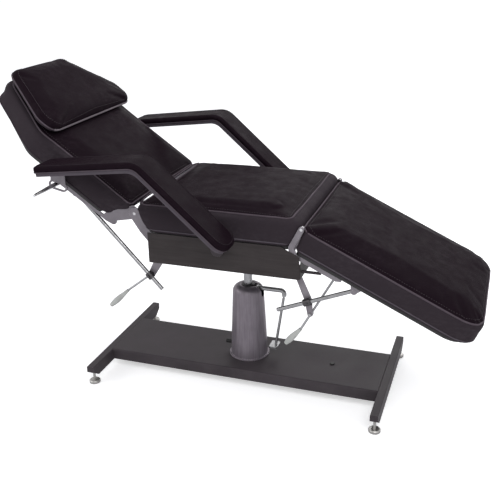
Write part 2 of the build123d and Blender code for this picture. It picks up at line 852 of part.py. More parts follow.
leg_level_shares = [0.0, 0.3, 0.6, 0.82, 0.93, 1.0]
leg_rise = leg_thickness - board_thickness + seat_side_tuck * 2
leg_foot = board_thickness - leg_hinge_over_underside
leg_insets = [seat_side_tuck, 0, 0, seat_side_tuck / 2, seat_corner_radius * 0.8, seat_crown_inset]
with BuildPart() as leg_cushion:
    for share, inset in zip(leg_level_shares, leg_insets):
        with BuildSketch(leg_frame.offset(leg_foot + leg_rise * share)):
            cushion_outline(
                leg_start + inset * 0.7,
                leg_length - inset,
                couch_width - 2 * inset,
                seat_corner_radius * 0.8,
                head_radius=leg_foot_radius,
            )
    loft()
    for direction in (-1, 1):
        wall = leg_frame.origin + Vector(0, direction * half_width, 0)
        with BuildSketch(Plane(origin=wall, x_dir=leg_frame.x_dir, z_dir=(0, -1, 0))):
            Rectangle(2 * (leg_start + pocket_depth), 4 * leg_hinge_over_underside)
        extrude(amount=direction * pocket_width, mode=Mode.SUBTRACT)
finish(leg_cushion, "leg_cushion")


def link(first, first_radius, second, second_radius):
    """Fill a link in the current sketch: two round ends joined by their outer tangents."""
    run = length_between(first, second)
    heading = atan2(second[1] - first[1], second[0] - first[0])
    spread = acos((first_radius - second_radius) / run)
    corners = []
    for centre, radius, sign in (
        (first, first_radius, 1),
        (second, second_radius, 1),
        (second, second_radius, -1),
        (first, first_radius, -1),
    ):
        angle = heading + sign * spread
        corners.append((centre[0] + radius * cos(angle), centre[1] + radius * sin(angle)))
    with Locations(first):
        Circle(first_radius)
    with Locations(second):
        Circle(second_radius)
    with BuildLine() as outline:
        Polyline(*corners, close=True)
    make_face(outline.edges())


def bored(place, radius):
    """Cut a round hole through the current sketch."""
    with Locations(place):
        Circle(radius, mode=Mode.SUBTRACT)


# Hinge plates, drawn on the near side and mirrored to the far side
back_hinge = (back_hinge_x, back_hinge_height)
leg_hinge = (leg_hinge_x, leg_hinge_height)
pin_hole = hinge_pin_radius + running_clearance

back_plate_foot = (
    pump_x - skirt_rear_reach + back_arm_foot_radius + skirt_sheet,
    seat_underside - back_arm_foot_radius,
)
back_knee = (pump_x - back_knee_reach, back_knee_height)
with BuildPart() as back_hinge_plates:
    with BuildSketch(side(-outer_plate + plate_thickness)):
        link(back_hinge, back_eye_radius, back_knee, back_knee_radius)
        link(back_knee, back_knee_radius, back_plate_foot, back_arm_foot_radius)
        toe = (back_plate_foot[0] + back_arm_foot_radius * 2, back_plate_foot[1] - back_arm_foot_radius)
        link(back_plate_foot, back_arm_foot_radius, toe, back_arm_foot_radius * 0.9)
        bored(back_hinge, pin_hole)
    extrude(amount=plate_thickness)
    mirror(about=Plane.XZ)
finish(back_hinge_plates, "back_hinge_plates")

arm_rod_centre = along(back_frame, arm_rod_along, -back_hinge_over_underside - arm_rod_drop)
back_arm_foot = along(back_frame, back_arch_foot_run, back_arch_foot_rise)
back_arch = along(back_frame, back_arch_run, back_arch_rise)
back_arch_toe = along(back_frame, back_arch_toe_run, back_arch_foot_rise)
arm_rail_end = back_foot_start + back_arm_rail_length
with BuildPart() as back_hinge_arms:
    with BuildSketch(side(-inner_plate + plate_thickness)):
        link(back_hinge, back_eye_radius, back_arm_foot, back_arm_foot_radius)
        link(back_arch, back_arch_radius, back_arm_foot, back_arm_foot_radius)
        link(back_arm_foot, back_arm_foot_radius, back_arch_toe, back_arch_toe_radius)
        rail = -back_hinge_over_underside
        with BuildLine():
            Polyline(
                along(back_frame, back_foot_start, rail),
                along(back_frame, arm_rail_end, rail),
                along(back_frame, arm_rail_end, rail - back_arm_rail_height / 2),
                along(back_frame, arm_rail_end - back_arm_rail_height, rail - back_arm_rail_height),
                along(back_frame, back_arch_foot_run, back_arch_foot_rise - back_arm_foot_radius),
                along(back_frame, back_arch_foot_run, back_arch_foot_rise),
                close=True,
            )
        make_face()
        bored(back_hinge, pin_hole)
        bored(arm_rod_centre, arm_rod_radius)
    extrude(amount=plate_thickness)
    mirror(about=Plane.XZ)
finish(back_hinge_arms, "back_hinge_arms")

leg_plate_foot = (
    pump_x + skirt_front_reach - skirt_edge_radius - leg_plate_foot_radius,
    seat_underside - leg_plate_foot_radius * 2,
)
leg_plate_knee = (pump_x + seat_front_foot_reach + leg_start, seat_underside + leg_eye_radius)
with BuildPart() as leg_hinge_plates:
    with BuildSketch(side(-outer_plate + plate_thickness)):
        link(leg_hinge, leg_eye_radius, leg_plate_knee, leg_eye_radius)
        link(leg_plate_knee, leg_eye_radius, leg_plate_foot, leg_plate_foot_radius)
        bored(leg_hinge, pin_hole)
    extrude(amount=plate_thickness)
    mirror(about=Plane.XZ)
finish(leg_hinge_plates, "leg_hinge_plates")

leg_arm_drop = -leg_hinge_over_underside
with BuildPart() as leg_hinge_arms:
    with BuildSketch(side(-inner_plate + plate_thickness)):
        leg_arm_middle = leg_arm_drop - leg_arm_rail_height / 2
        leg_arm_floor = leg_arm_drop - leg_arm_rail_height
        leg_arm_foot = along(leg_frame, leg_start + leg_eye_radius / 2, leg_arm_middle)
        link(leg_hinge, leg_eye_radius, leg_arm_foot, leg_arm_rail_height / 2)
        with BuildLine():
            Polyline(
                along(leg_frame, leg_start + leg_eye_radius / 2, leg_arm_drop),
                along(leg_frame, leg_arm_rail_length, leg_arm_drop),
                along(leg_frame, leg_arm_rail_length, leg_arm_middle),
                along(leg_frame, leg_arm_rail_length - leg_arm_rail_height, leg_arm_floor),
                along(leg_frame, leg_start + leg_eye_radius / 2, leg_arm_floor),
                close=True,
            )
        make_face()
        bored(leg_hinge, pin_hole)
    extrude(amount=plate_thickness)
    mirror(about=Plane.XZ)
finish(leg_hinge_arms, "leg_hinge_arms")


def hinge_pins(name, place):
    """A headed pin through each pair of plates, fixed in neither."""
    with BuildPart() as pins:
        with BuildSketch(side(-inner_plate + plate_thickness)):
            with Locations(place):
                Circle(hinge_pin_radius)
        extrude(amount=2 * plate_thickness + plate_gap)
        with BuildSketch(side(-inner_plate + plate_thickness)):
            with Locations(place):
                Circle(hinge_pin_head_radius)
        extrude(amount=-hinge_pin_head_height)
        mirror(about=Plane.XZ)
    finish(pins, name)


hinge_pins("back_hinge_pins", back_hinge)
hinge_pins("leg_hinge_pins", leg_hinge)

# Struts. Each strut's pin lies as far from its section's hinge as the clamp does, so that the strut
# turns through half the section's angle and slides through the clamp along one straight line.
back_clamp = (back_clamp_x, back_clamp_height)
leg_clamp = (leg_clamp_x, leg_clamp_height)


def strut_pin(frame, hinge, clamp, drop):
    """Where a strut is pinned under its section."""
    reach = length_between(hinge, clamp)
    return along(frame, sqrt(reach ** 2 - drop ** 2), -drop)


back_lug_centre = strut_pin(back_frame, back_hinge, back_clamp, back_hinge_over_underside + lug_drop)
leg_lug_centre = strut_pin(leg_frame, leg_hinge, leg_clamp, leg_hinge_over_underside + leg_lug_drop)


def past(first, second, extra):
    """The point that lies past the second one, on the line from the first."""
    share = 1 + extra / length_between(first, second)
    return (first[0] + (second[0] - first[0]) * share, first[1] + (second[1] - first[1]) * share)


def strut(name, pin, clamp, tail):
    """A round bar with a flattened eye, running from its pin through the clamp."""
    with BuildPart() as bar:
        with BuildSketch(rod_plane(strut_line, pin, clamp)):
            Circle(strut_radius)
        extrude(amount=length_between(pin, clamp) + tail)
        chamfer(bar.faces().sort_by(Axis.Z)[0].edges(), length=strut_radius / 5)
        with BuildSketch(side(strut_line + eye_width / 2)):
            with Locations(pin):
                Circle(eye_radius)
        extrude(amount=eye_width)
        with BuildSketch(side(strut_line + eye_width)):
            with Locations(pin):
                Circle(lug_pin_radius + running_clearance)
        extrude(amount=eye_width * 2, mode=Mode.SUBTRACT)
    finish(bar, name)


strut("back_strut", back_lug_centre, back_clamp, back_strut_tail)
strut("leg_strut", leg_lug_centre, leg_clamp, leg_strut_tail)


def lug(name, frame, centre, underside, drop):
    """A fork under a section with a cross pin that carries the strut's eye."""
    local = frame.to_local_coords(Vector(centre[0], 0, centre[1]))
    foot = (local.X, underside)
    with BuildPart() as fork:
        for direction in (-1, 1):
            inner = strut_line + direction * (eye_width / 2 + lug_gap)
            with BuildSketch(side(inner)):
                with BuildLine():
                    Polyline(
                        along(frame, foot[0] - lug_radius * 2, foot[1]),
                        along(frame, foot[0] + lug_radius * 2, foot[1]),
                        along(frame, foot[0] + lug_radius, foot[1] - drop),
                        along(frame, foot[0] - lug_radius, foot[1] - drop),
                        close=True,
                    )
                make_face()
                with Locations(centre):
                    Circle(lug_radius)
            extrude(amount=-direction * lug_thickness)
        with BuildSketch(side(strut_line + eye_width / 2 + lug_gap)):
            with Locations(centre):
                Circle(lug_pin_radius)
        extrude(amount=eye_width + 2 * lug_gap)
        for direction in (-1, 1):
            with BuildSketch(side(strut_line + direction * (eye_width / 2 + lug_gap + lug_thickness))):
                with Locations(centre):
                    Circle(lug_pin_radius * 1.6)
            extrude(amount=-direction * lug_thickness / 2)
    finish(fork, name)


lug("back_lug", back_frame, back_lug_centre, -back_hinge_over_underside, lug_drop)
lug("leg_lug", leg_frame, leg_lug_centre, -leg_hinge_over_underside, leg_lug_drop)


def clamp_block(name, pin, clamp):
    """A split collar round the strut, with the swivel stud that turns in its bracket."""
    back_off = past(pin, clamp, -clamp_length / 2)
    with BuildPart() as collar:
        with BuildSketch(rod_plane(strut_line, back_off, clamp)):
            Circle(clamp_radius)
        extrude(amount=clamp_length)
        with BuildSketch(side(bracket_face)):
            with Locations(clamp):
                Circle(clamp_radius * 0.8)
        extrude(amount=bracket_face - strut_line)
        with BuildSketch(rod_plane(strut_line, past(pin, clamp, -clamp_length), clamp)):
            Circle(strut_radius + running_clearance)
        extrude(amount=clamp_length * 2, mode=Mode.SUBTRACT)
        with BuildSketch(side(bracket_face)):
            with Locations(clamp):
                Circle(clamp_bolt_radius)
        extrude(amount=-bracket_thickness)
        with BuildSketch(side(strut_line - clamp_radius)):
            with Locations(clamp):
                RegularPolygon(clamp_bolt_radius, 6)
        extrude(amount=lug_gap * 6)
        with BuildSketch(side(strut_line - strut_radius - lug_gap)):
            with Locations(clamp):
                Circle(clamp_bolt_radius)
        extrude(amount=clamp_radius - strut_radius)
    finish(collar, name)


clamp_block("back_clamp", back_lug_centre, back_clamp)
clamp_block("leg_clamp", leg_lug_centre, leg_clamp)

# Brackets that hang from the seat frame inside the skirt
back_bracket_top = (pump_x - back_bracket_top_reach, back_bracket_top_height - back_bracket_top_width / 2)
with BuildPart() as back_bracket:
    with BuildSketch(side(bracket_line)):
        link(back_bracket_top, back_bracket_top_width / 2, back_clamp, clamp_radius)
        bored(back_clamp, clamp_bolt_radius + running_clearance)
    extrude(amount=bracket_thickness)
    with BuildSketch(Plane.XY.offset(back_bracket_top_height - bracket_tab_height)):
        with Locations((back_bracket_top[0], -(skirt_width / 2 - skirt_sheet - bracket_line) / 2)):
            Rectangle(back_bracket_top_width / 2, skirt_width / 2 - skirt_sheet + bracket_line)
    extrude(amount=bracket_thickness)
finish(back_bracket, "back_bracket")

leg_bracket_top = (pump_x + leg_bracket_top_reach, back_bracket_top[1])
leg_bracket_foot = (pump_x + leg_bracket_foot_reach, leg_bracket_foot_height)
with BuildPart() as leg_bracket:
    with BuildSketch(side(bracket_line)):
        link(leg_bracket_top, leg_bracket_eye_radius, leg_clamp, clamp_radius)
        link(leg_clamp, clamp_radius, leg_bracket_foot, leg_bracket_eye_radius)
        bored(leg_clamp, clamp_bolt_radius + running_clearance)
        bored(leg_bracket_foot, clamp_bolt_radius + running_clearance)
    extrude(amount=bracket_thickness)
    with BuildSketch(Plane.XY.offset(leg_bracket_top[1] + leg_bracket_eye_radius - bracket_thickness)):
        with Locations((leg_bracket_top[0], -(skirt_width / 2 - skirt_sheet - bracket_line) / 2)):
            Rectangle(leg_bracket_eye_radius * 1.2, skirt_width / 2 - skirt_sheet + bracket_line)
    extrude(amount=bracket_thickness)
finish(leg_bracket, "leg_bracket")

bar_start = pump_x + skirt_front_reach
with BuildPart() as stop_bar:
    with BuildSketch(Plane.YZ.offset(bar_start)):
        with Locations((strut_line, stop_bar_height)):
            Circle(stop_bar_radius)
    extrude(amount=stop_bar_reach - skirt_front_reach)
    fillet(stop_bar.faces().sort_by(Axis.X)[-1].edges(), radius=stop_bar_radius / 2)
finish(stop_bar, "stop_bar")


# Lock levers and their grips
def lever(name, pivot, start, neck, end, stud):
    """A thin rod with a hub that turns on a stud behind the bracket, its end set in the grip."""
    with BuildPart() as rod:
        with BuildSketch(side(lever_line + lever_hub_width / 2)):
            with Locations(pivot):
                Circle(lever_hub_radius)
        extrude(amount=lever_hub_width)
        with BuildLine():
            FilletPolyline(
                (start[0], lever_line, start[1]),
                (neck[0], lever_line, neck[1]),
                ((neck[0] + end[0]) / 2, lever_line, (neck[1] + end[1]) / 2),
                radius=lever_bend_radius,
            )
        with BuildSketch(rod_plane(lever_line, start, neck)):
            Circle(lever_rod_radius)
        sweep()
        if stud:
            with BuildSketch(side(lever_line - lever_hub_width / 2)):
                with Locations(pivot):
                    Circle(clamp_bolt_radius)
            extrude(amount=bracket_thickness * 2)
    finish(rod, name)


# Radii of the teardrop grip at shares of its length
grip_shares = [0.0, 0.3, 0.62, 0.9, 1.0]
grip_radii = [
    grip_neck_radius,
    (grip_neck_radius + grip_belly_radius) / 2,
    grip_belly_radius,
    (grip_belly_radius + grip_end_radius) / 2,
    grip_end_radius,
]


def grip(name, neck, end):
    """A teardrop handle pushed over the lever's end."""
    run = length_between(neck, end)
    axis_plane = rod_plane(lever_line, neck, end)
    with BuildPart() as handle:
        for share, radius in zip(grip_shares, grip_radii):
            with BuildSketch(axis_plane.offset(lever_rod_radius / 2 + run * share)):
                Circle(radius)
        loft()
        with BuildSketch(axis_plane):
            Circle(lever_rod_radius)
        extrude(amount=run / 2, mode=Mode.SUBTRACT)
    finish(handle, name)


back_grip_neck = (pump_x - back_lever_grip_reach, back_lever_grip_height)
back_grip_end = (pump_x - back_lever_end_reach, back_lever_end_height)
lever("back_lever", back_clamp, back_clamp, back_grip_neck, back_grip_end, False)
grip("back_grip", back_grip_neck, back_grip_end)

leg_grip_neck = (pump_x + leg_lever_grip_reach, leg_lever_grip_height)
leg_grip_end = (pump_x + leg_lever_end_reach, leg_lever_end_height)
leg_tail = (pump_x + leg_lever_tail_reach, leg_lever_tail_height)
lever("leg_lever", leg_bracket_foot, leg_tail, leg_grip_neck, leg_grip_end, True)
grip("leg_grip", leg_grip_neck, leg_grip_end)

# Armrests: a bent board with a pad on top, pivoted beside the seat's front and carried at the back
# by a rod under the backrest, which slides in a slotted hanger
arm_back = (pump_x - arm_back_reach, arm_back_height)
arm_bend = (pump_x - arm_bend_reach, arm_bend_height)
arm_front = (pump_x + arm_front_reach, arm_front_height)
arm_pivot = (arm_pivot_x, arm_pivot_height)
arm_underside = arm_pad_thickness + arm_board_thickness


def below(first, second, run, drop):
    """The point at a run along the line from first to second and a drop square below it."""
    span = length_between(first, second)
    unit = ((second[0] - first[0]) / span, (second[1] - first[1]) / span)
    return (first[0] + unit[0] * run + unit[1] * drop, first[1] + unit[1] * run - unit[0] * drop)


def rim_point(centre, radius, angle):
    """The point on a circle's rim at an angle in degrees."""
    return (centre[0] + radius * cos(radians(angle)), centre[1] + radius * sin(radians(angle)))


def bend_point(drop):
    """The bend's point at a drop below the top line, where the two straight runs meet."""
    first = below(arm_back, arm_bend, 0, drop)
    second = below(arm_back, arm_bend, length_between(arm_back, arm_bend), drop)
    third = below(arm_bend, arm_front, 0, drop)
    fourth = below(arm_bend, arm_front, length_between(arm_bend, arm_front), drop)
    run = (second[0] - first[0], second[1] - first[1])
    slope = (fourth[0] - third[0], fourth[1] - third[1])
    cross = run[0] * slope[1] - run[1] * slope[0]
    part = ((third[0] - first[0]) * slope[1] - (third[1] - first[1]) * slope[0]) / cross
    return (first[0] + run[0] * part, first[1] + run[1] * part)


def arm_strip(y, width, top, bottom, inset, corner_radius, edge_radius):
    """A bent strip of the armrest between two drops below its top line, with rounded ends."""
    run = length_between(arm_back, arm_bend)
    slope = length_between(arm_bend, arm_front)
    with BuildPart() as strip:
        with BuildSketch(side(y)):
            with BuildLine() as outline:
                FilletPolyline(
                    below(arm_back, arm_bend, inset, top),
                    bend_point(top),
                    below(arm_bend, arm_front, slope - inset, top),
                    radius=arm_bend_radius,
                )
                FilletPolyline(
                    below(arm_back, arm_bend, inset, bottom),
                    bend_point(bottom),
                    below(arm_bend, arm_front, slope - inset, bottom),
                    radius=arm_bend_radius - bottom + top,
                )
                Line(below(arm_back, arm_bend, inset, top), below(arm_back, arm_bend, inset, bottom))
                Line(
                    below(arm_bend, arm_front, slope - inset, top),
                    below(arm_bend, arm_front, slope - inset, bottom),
                )
            make_face(outline.edges())
        extrude(amount=width)
        thin = bottom - top + soft_gap
        ends = [e for e in strip.edges() if e.length < thin and abs(e.tangent_at(0).Y) < soft_gap]
        front_edges = [e for e in ends if e.center().X > pump_x]
        back_edges = [e for e in ends if e.center().X < arm_bend[0] - arm_bend_radius]
        fillet(front_edges, radius=corner_radius)
        fillet(back_edges, radius=arm_back_radius)
        if edge_radius:
            upper = [f for f in strip.faces() if f.normal_at().Z > edge_radius / bottom]
            across_share = 0.6
            rim = [
                e
                for f in upper
                for e in f.edges()
                if abs(e.tangent_at(0.5).Y) < across_share or e.length < width
            ]
            top_rim = [e for e in rim if len([f for f in upper if e in f.edges()]) < 2]
            fillet(top_rim, radius=edge_radius)
    return strip


slot_near = past(arm_pivot, arm_rod_centre, -arm_slot_offset - arm_slot_travel)
slot_far = past(arm_pivot, arm_rod_centre, -arm_slot_offset + arm_slot_travel)
slot_radius = arm_rod_radius + arm_slot_clearance
arm_plate_start = arm_inner + arm_plate_inset


def armrest(name, direction):
    """The pieces of one armrest: direction is -1 on the near side and 1 on the far side."""
    start = direction * arm_inner if direction < 0 else arm_inner + arm_width
    pad = arm_strip(start, arm_width, 0, arm_pad_thickness, 0, arm_front_radius, arm_pad_edge_radius)
    finish(pad, name + "_arm_pad")
    board_start = start - arm_board_inset
    board_strip = arm_strip(
        board_start,
        arm_width - 2 * arm_board_inset,
        arm_pad_thickness,
        arm_underside,
        arm_board_inset,
        arm_front_radius - arm_board_inset,
        0,
    )
    finish(board_strip, name + "_arm_board")
    plate_start = -arm_plate_start if direction < 0 else arm_plate_start + plate_thickness
    slope = length_between(arm_bend, arm_front)
    with BuildPart() as pivot_plate:
        with BuildSketch(side(plate_start)):
            with Locations(arm_pivot):
                Circle(arm_plate_radius)
            foot_run = slope - arm_plate_radius * 2
            with BuildLine() as outline:
                Polyline(
                    below(arm_bend, arm_front, foot_run - arm_plate_radius * 3, arm_underside),
                    below(arm_bend, arm_front, foot_run + arm_plate_radius, arm_underside),
                    rim_point(arm_pivot, arm_plate_radius, -arm_plate_front_angle),
                    rim_point(arm_pivot, arm_plate_radius, arm_plate_back_angle - 180),
                    close=True,
                )
            make_face(outline.edges())
            bored(arm_pivot, arm_pin_radius + running_clearance)
        extrude(amount=plate_thickness)
    finish(pivot_plate, name + "_arm_pivot_plate")
    with BuildPart() as hanger:
        with BuildSketch(side(plate_start)):
            link(slot_near, slot_radius + arm_slot_wall, slot_far, slot_radius + arm_slot_wall)
            hang = arm_rod_centre[0] - arm_back[0]
            with BuildLine() as outline:
                Polyline(
                    below(arm_back, arm_bend, hang - slot_radius, arm_underside),
                    below(arm_back, arm_bend, hang + slot_radius * 4, arm_underside),
                    (slot_near[0] + slot_radius, slot_near[1]),
                    (slot_far[0] - slot_radius, slot_far[1]),
                    close=True,
                )
            make_face(outline.edges())
            with BuildSketch(mode=Mode.PRIVATE) as slot:
                link(slot_near, slot_radius, slot_far, slot_radius)
            add(slot.sketch, mode=Mode.SUBTRACT)
        extrude(amount=plate_thickness)
    finish(hanger, name + "_arm_hanger")


armrest("near", -1)
armrest("far", 1)

with BuildPart() as arm_mounts:
    with BuildSketch(side(-arm_mount_start)):
        mount_foot = (arm_pivot[0], arm_mount_foot_height + arm_plate_radius)
        link(arm_pivot, arm_plate_radius, mount_foot, arm_mount_width / 2)
    extrude(amount=plate_thickness)
    with BuildSketch(side(-skirt_width / 2)):
        with Locations(mount_foot):
            Circle(arm_plate_radius)
    extrude(amount=arm_mount_start - skirt_width / 2)
    mirror(about=Plane.XZ)
finish(arm_mounts, "arm_mounts")

arm_pin_start = arm_mount_start + plate_thickness
arm_pin_length = arm_plate_start + plate_thickness + plate_gap - arm_pin_start
with BuildPart() as arm_pins:
    with BuildSketch(side(-arm_pin_start)):
        with Locations(arm_pivot):
            Circle(arm_pin_radius)
    extrude(amount=arm_pin_length)
    with BuildSketch(side(-arm_pin_start - arm_pin_length)):
        with Locations(arm_pivot):
            Circle(arm_pin_head_radius)
    extrude(amount=arm_pin_head_height)
    mirror(about=Plane.XZ)
finish(arm_pins, "arm_pins")

with BuildPart() as arm_rod:
    with BuildSketch(side(arm_rod_taper_start)):
        with Locations(arm_rod_centre):
            Circle(arm_rod_radius)
    extrude(amount=2 * arm_rod_taper_start)
    for direction in (-1, 1):
        with BuildSketch(side(direction * arm_rod_taper_start)):
            with Locations(arm_rod_centre):
                Circle(arm_rod_radius)
        with BuildSketch(side(direction * arm_rod_reach)):
            with Locations(arm_rod_centre):
                Circle(arm_rod_tip_radius)
        loft()
    ends = arm_rod.faces().filter_by(Plane.XZ).sort_by(Axis.Y)
    fillet([ends[0].edges()[0], ends[-1].edges()[0]], radius=arm_rod_tip_radius / 2)
finish(arm_rod, "arm_rod")

with BuildPart() as arm_rod_lugs:
    rail = -back_hinge_over_underside
    lug_floor = rail - arm_rod_drop - arm_rod_radius * 2
    with BuildSketch(side(-arm_rod_lug_line + arm_rod_lug_width)):
        with BuildLine() as outline:
            Polyline(
                along(back_frame, arm_rod_along - arm_rod_radius * 3, rail),
                along(back_frame, arm_rod_along + arm_rod_radius * 3, rail),
                along(back_frame, arm_rod_along + arm_rod_radius * 2, lug_floor),
                along(back_frame, arm_rod_along - arm_rod_radius * 2, lug_floor),
                close=True,
            )
        make_face()
        bored(arm_rod_centre, arm_rod_radius)
    extrude(amount=arm_rod_lug_width)
    mirror(about=Plane.XZ)
finish(arm_rod_lugs, "arm_rod_lugs")
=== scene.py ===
import math
from math import cos, pi, radians, sin

import bmesh
import bpy
import numpy as np
from mathutils import Matrix, Vector
from mathutils.bvhtree import BVHTree


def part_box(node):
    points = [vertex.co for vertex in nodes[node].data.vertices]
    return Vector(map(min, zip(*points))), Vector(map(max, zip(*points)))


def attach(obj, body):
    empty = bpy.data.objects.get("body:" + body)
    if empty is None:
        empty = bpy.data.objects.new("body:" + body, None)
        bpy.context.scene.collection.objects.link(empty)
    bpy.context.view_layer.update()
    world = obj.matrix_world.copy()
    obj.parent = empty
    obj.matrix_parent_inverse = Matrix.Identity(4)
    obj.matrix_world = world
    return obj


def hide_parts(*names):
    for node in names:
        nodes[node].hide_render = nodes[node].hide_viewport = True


# Looks of the tattoo chair in metres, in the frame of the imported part:
# +X towards the foot end, +Y towards the far side, +Z up, floor at Z = 0.
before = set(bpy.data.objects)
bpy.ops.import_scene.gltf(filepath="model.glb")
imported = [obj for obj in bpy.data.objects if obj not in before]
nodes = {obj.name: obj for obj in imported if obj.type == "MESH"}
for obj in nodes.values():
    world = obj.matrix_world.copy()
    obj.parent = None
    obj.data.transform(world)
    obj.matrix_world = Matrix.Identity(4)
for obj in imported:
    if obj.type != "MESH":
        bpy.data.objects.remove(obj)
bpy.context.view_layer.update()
scene = bpy.context.scene

# The pump's axis, from which places along the couch are measured
pump_x = 0.014


# Materials
class Look:
    """One procedural material, built from a principled surface and helper nodes."""

    def __init__(self, name, **values):
        self.made = bpy.data.materials.new(name)
        self.made.use_nodes = True
        self.tree = self.made.node_tree
        self.tree.nodes.clear()
        out = self.tree.nodes.new("ShaderNodeOutputMaterial")
        self.surface = self.tree.nodes.new("ShaderNodeBsdfPrincipled")
        self.tree.links.new(self.surface.outputs[0], out.inputs[0])
        self.normal = None
        for key, value in values.items():
            self.set(key, value)

    def node(self, kind, **values):
        node = self.tree.nodes.new(kind)
        for key, value in values.items():
            setattr(node, key, value)
        return node

    def put(self, socket, value):
        """Links a socket to another, or gives it a value."""
        if isinstance(value, bpy.types.NodeSocket):
            self.tree.links.new(value, socket)
        else:
            if socket.type == "RGBA" and len(value) == 3:
                value = (*value, 1.0)
            socket.default_value = value

    def set(self, key, value):
        self.put(self.surface.inputs[key], value)

    def place(self, scale=(1, 1, 1)):
        """Object coordinates, scaled."""
        source = self.node("ShaderNodeTexCoord")
        mapping = self.node("ShaderNodeMapping")
        self.tree.links.new(source.outputs["Object"], mapping.inputs["Vector"])
        mapping.inputs["Scale"].default_value = scale
        return mapping.outputs[0]

    def noise(self, scale, detail=3.0, rough=0.55, at=None, distortion=0.0):
        node = self.node("ShaderNodeTexNoise")
        self.put(node.inputs["Vector"], at if at is not None else self.place())
        node.inputs["Scale"].default_value = scale
        node.inputs["Detail"].default_value = detail
        node.inputs["Roughness"].default_value = rough
        node.inputs["Distortion"].default_value = distortion
        return node.outputs["Fac"]

    def cells(self, scale, feature="DISTANCE_TO_EDGE"):
        node = self.node("ShaderNodeTexVoronoi", feature=feature)
        self.put(node.inputs["Vector"], self.place())
        node.inputs["Scale"].default_value = scale
        return node.outputs["Distance"]

    def fit(self, value, low, high, to_low=0.0, to_high=1.0):
        """Maps a value's range from low to high onto another, and stops at its ends."""
        node = self.node("ShaderNodeMapRange")
        self.put(node.inputs["Value"], value)
        node.inputs["From Min"].default_value = low
        node.inputs["From Max"].default_value = high
        node.inputs["To Min"].default_value = to_low
        node.inputs["To Max"].default_value = to_high
        return node.outputs["Result"]

    def maths(self, operation, first, second):
        node = self.node("ShaderNodeMath", operation=operation)
        self.put(node.inputs[0], first)
        self.put(node.inputs[1], second)
        return node.outputs[0]

    def mix(self, share, first, second):
        """Mixes two colours, which a mix node holds in its sockets 6 and 7, into its output 2."""
        node = self.node("ShaderNodeMix", data_type="RGBA")
        self.put(node.inputs["Factor"], share)
        self.put(node.inputs[6], first)
        self.put(node.inputs[7], second)
        return node.outputs[2]

    def bump(self, height, distance, strength):
        """Lays a bump over the ones before it."""
        node = self.node("ShaderNodeBump")
        self.put(node.inputs["Height"], height)
        node.inputs["Distance"].default_value = distance
        node.inputs["Strength"].default_value = strength
        if self.normal is not None:
            self.tree.links.new(self.normal, node.inputs["Normal"])
        self.normal = node.outputs[0]
        self.tree.links.new(self.normal, self.surface.inputs["Normal"])

    def edges(self):
        """How near a sharp edge a point lies, from its softened shading."""
        flat, sharp = 0.02, 0.25
        plain = self.node("ShaderNodeNewGeometry").outputs["Normal"]
        dot = self.node("ShaderNodeVectorMath", operation="DOT_PRODUCT")
        self.tree.links.new(plain, dot.inputs[0])
        self.tree.links.new(self.normal, dot.inputs[1])
        away = self.maths("SUBTRACT", 1.0, dot.outputs["Value"])
        return self.fit(away, flat, sharp)

    def soften(self, radius):
        """Rounds the shading of sharp edges."""
        node = self.node("ShaderNodeBevel", samples=4)
        node.inputs["Radius"].default_value = radius
        self.normal = node.outputs[0]
        self.tree.links.new(self.normal, self.surface.inputs["Normal"])


# How strongly each kind of surface shines
vinyl_shine, paint_shine, plastic_shine = 0.014, 0.12, 0.3

# How wide the shading of a sharp edge is rounded
paint_edge, metal_edge, plastic_edge, wood_edge = 0.0012, 0.0008, 0.0008, 0.001


def vinyl(name, deep, worn, rough):
    """Grained upholstery vinyl with faint scuffs and slow unevenness."""
    look = Look(name, Metallic=0.0)
    look.set("Specular IOR Level", vinyl_shine)
    cloud = look.noise(scale=5.0, detail=4.0, rough=0.6)
    scuff = look.noise(scale=38.0, detail=5.0, rough=0.7, at=look.place((1, 1, 2.2)))
    wear = look.maths("MULTIPLY", look.fit(cloud, 0.42, 0.7), look.fit(scuff, 0.45, 0.75))
    look.set("Base Color", look.mix(wear, deep, worn))
    unevenness = look.noise(scale=22.0, detail=4.0, rough=0.65)
    look.set("Roughness", look.fit(unevenness, 0.3, 0.7, rough - 0.07, rough + 0.12))
    waves = look.noise(scale=9.0, detail=3.0, rough=0.5, distortion=0.4)
    look.bump(waves, distance=0.004, strength=0.35)
    look.bump(look.cells(scale=640.0), distance=0.0005, strength=0.5)
    look.bump(look.noise(scale=2400.0, detail=2.0), distance=0.0002, strength=0.35)
    return look.made


def paint(name, deep, pale, rough, metallic, streak=None):
    """Painted metal: fine fleck, orange peel, streaks and rubbed edges."""
    look = Look(name, Metallic=metallic)
    look.set("Specular IOR Level", paint_shine)
    look.soften(paint_edge)
    cloud = look.noise(scale=7.0, detail=4.0, rough=0.6)
    if streak:
        lines = look.noise(scale=1.0, detail=4.0, rough=0.7, at=look.place(streak))
        cloud = look.maths("ADD", look.maths("MULTIPLY", cloud, 0.35), look.maths("MULTIPLY", lines, 0.65))
    flecks = look.fit(look.cells(scale=1500.0, feature="F1"), 0.1, 0.6, 0.0, 0.25)
    patches = look.fit(cloud, 0.35, 0.68, 0.0, 0.85)
    share = look.maths("ADD", patches, look.maths("MULTIPLY", flecks, 0.4))
    rubbed_gain, rubbed_rise = 2.1, 0.02
    rubbed = tuple(min(1.0, value * rubbed_gain + rubbed_rise) for value in pale)
    look.set("Base Color", look.mix(look.edges(), look.mix(share, deep, pale), rubbed))
    scratch = look.noise(scale=1.0, detail=3.0, rough=0.8, at=look.place((60, 900, 900)))
    worn = look.fit(scratch, 0.62, 0.78, 0.0, 0.18)
    look.set("Roughness", look.maths("ADD", look.fit(cloud, 0.3, 0.7, rough - 0.06, rough + 0.1), worn))
    look.bump(look.noise(scale=420.0, detail=2.0, rough=0.5), distance=0.00025, strength=0.22)
    return look.made


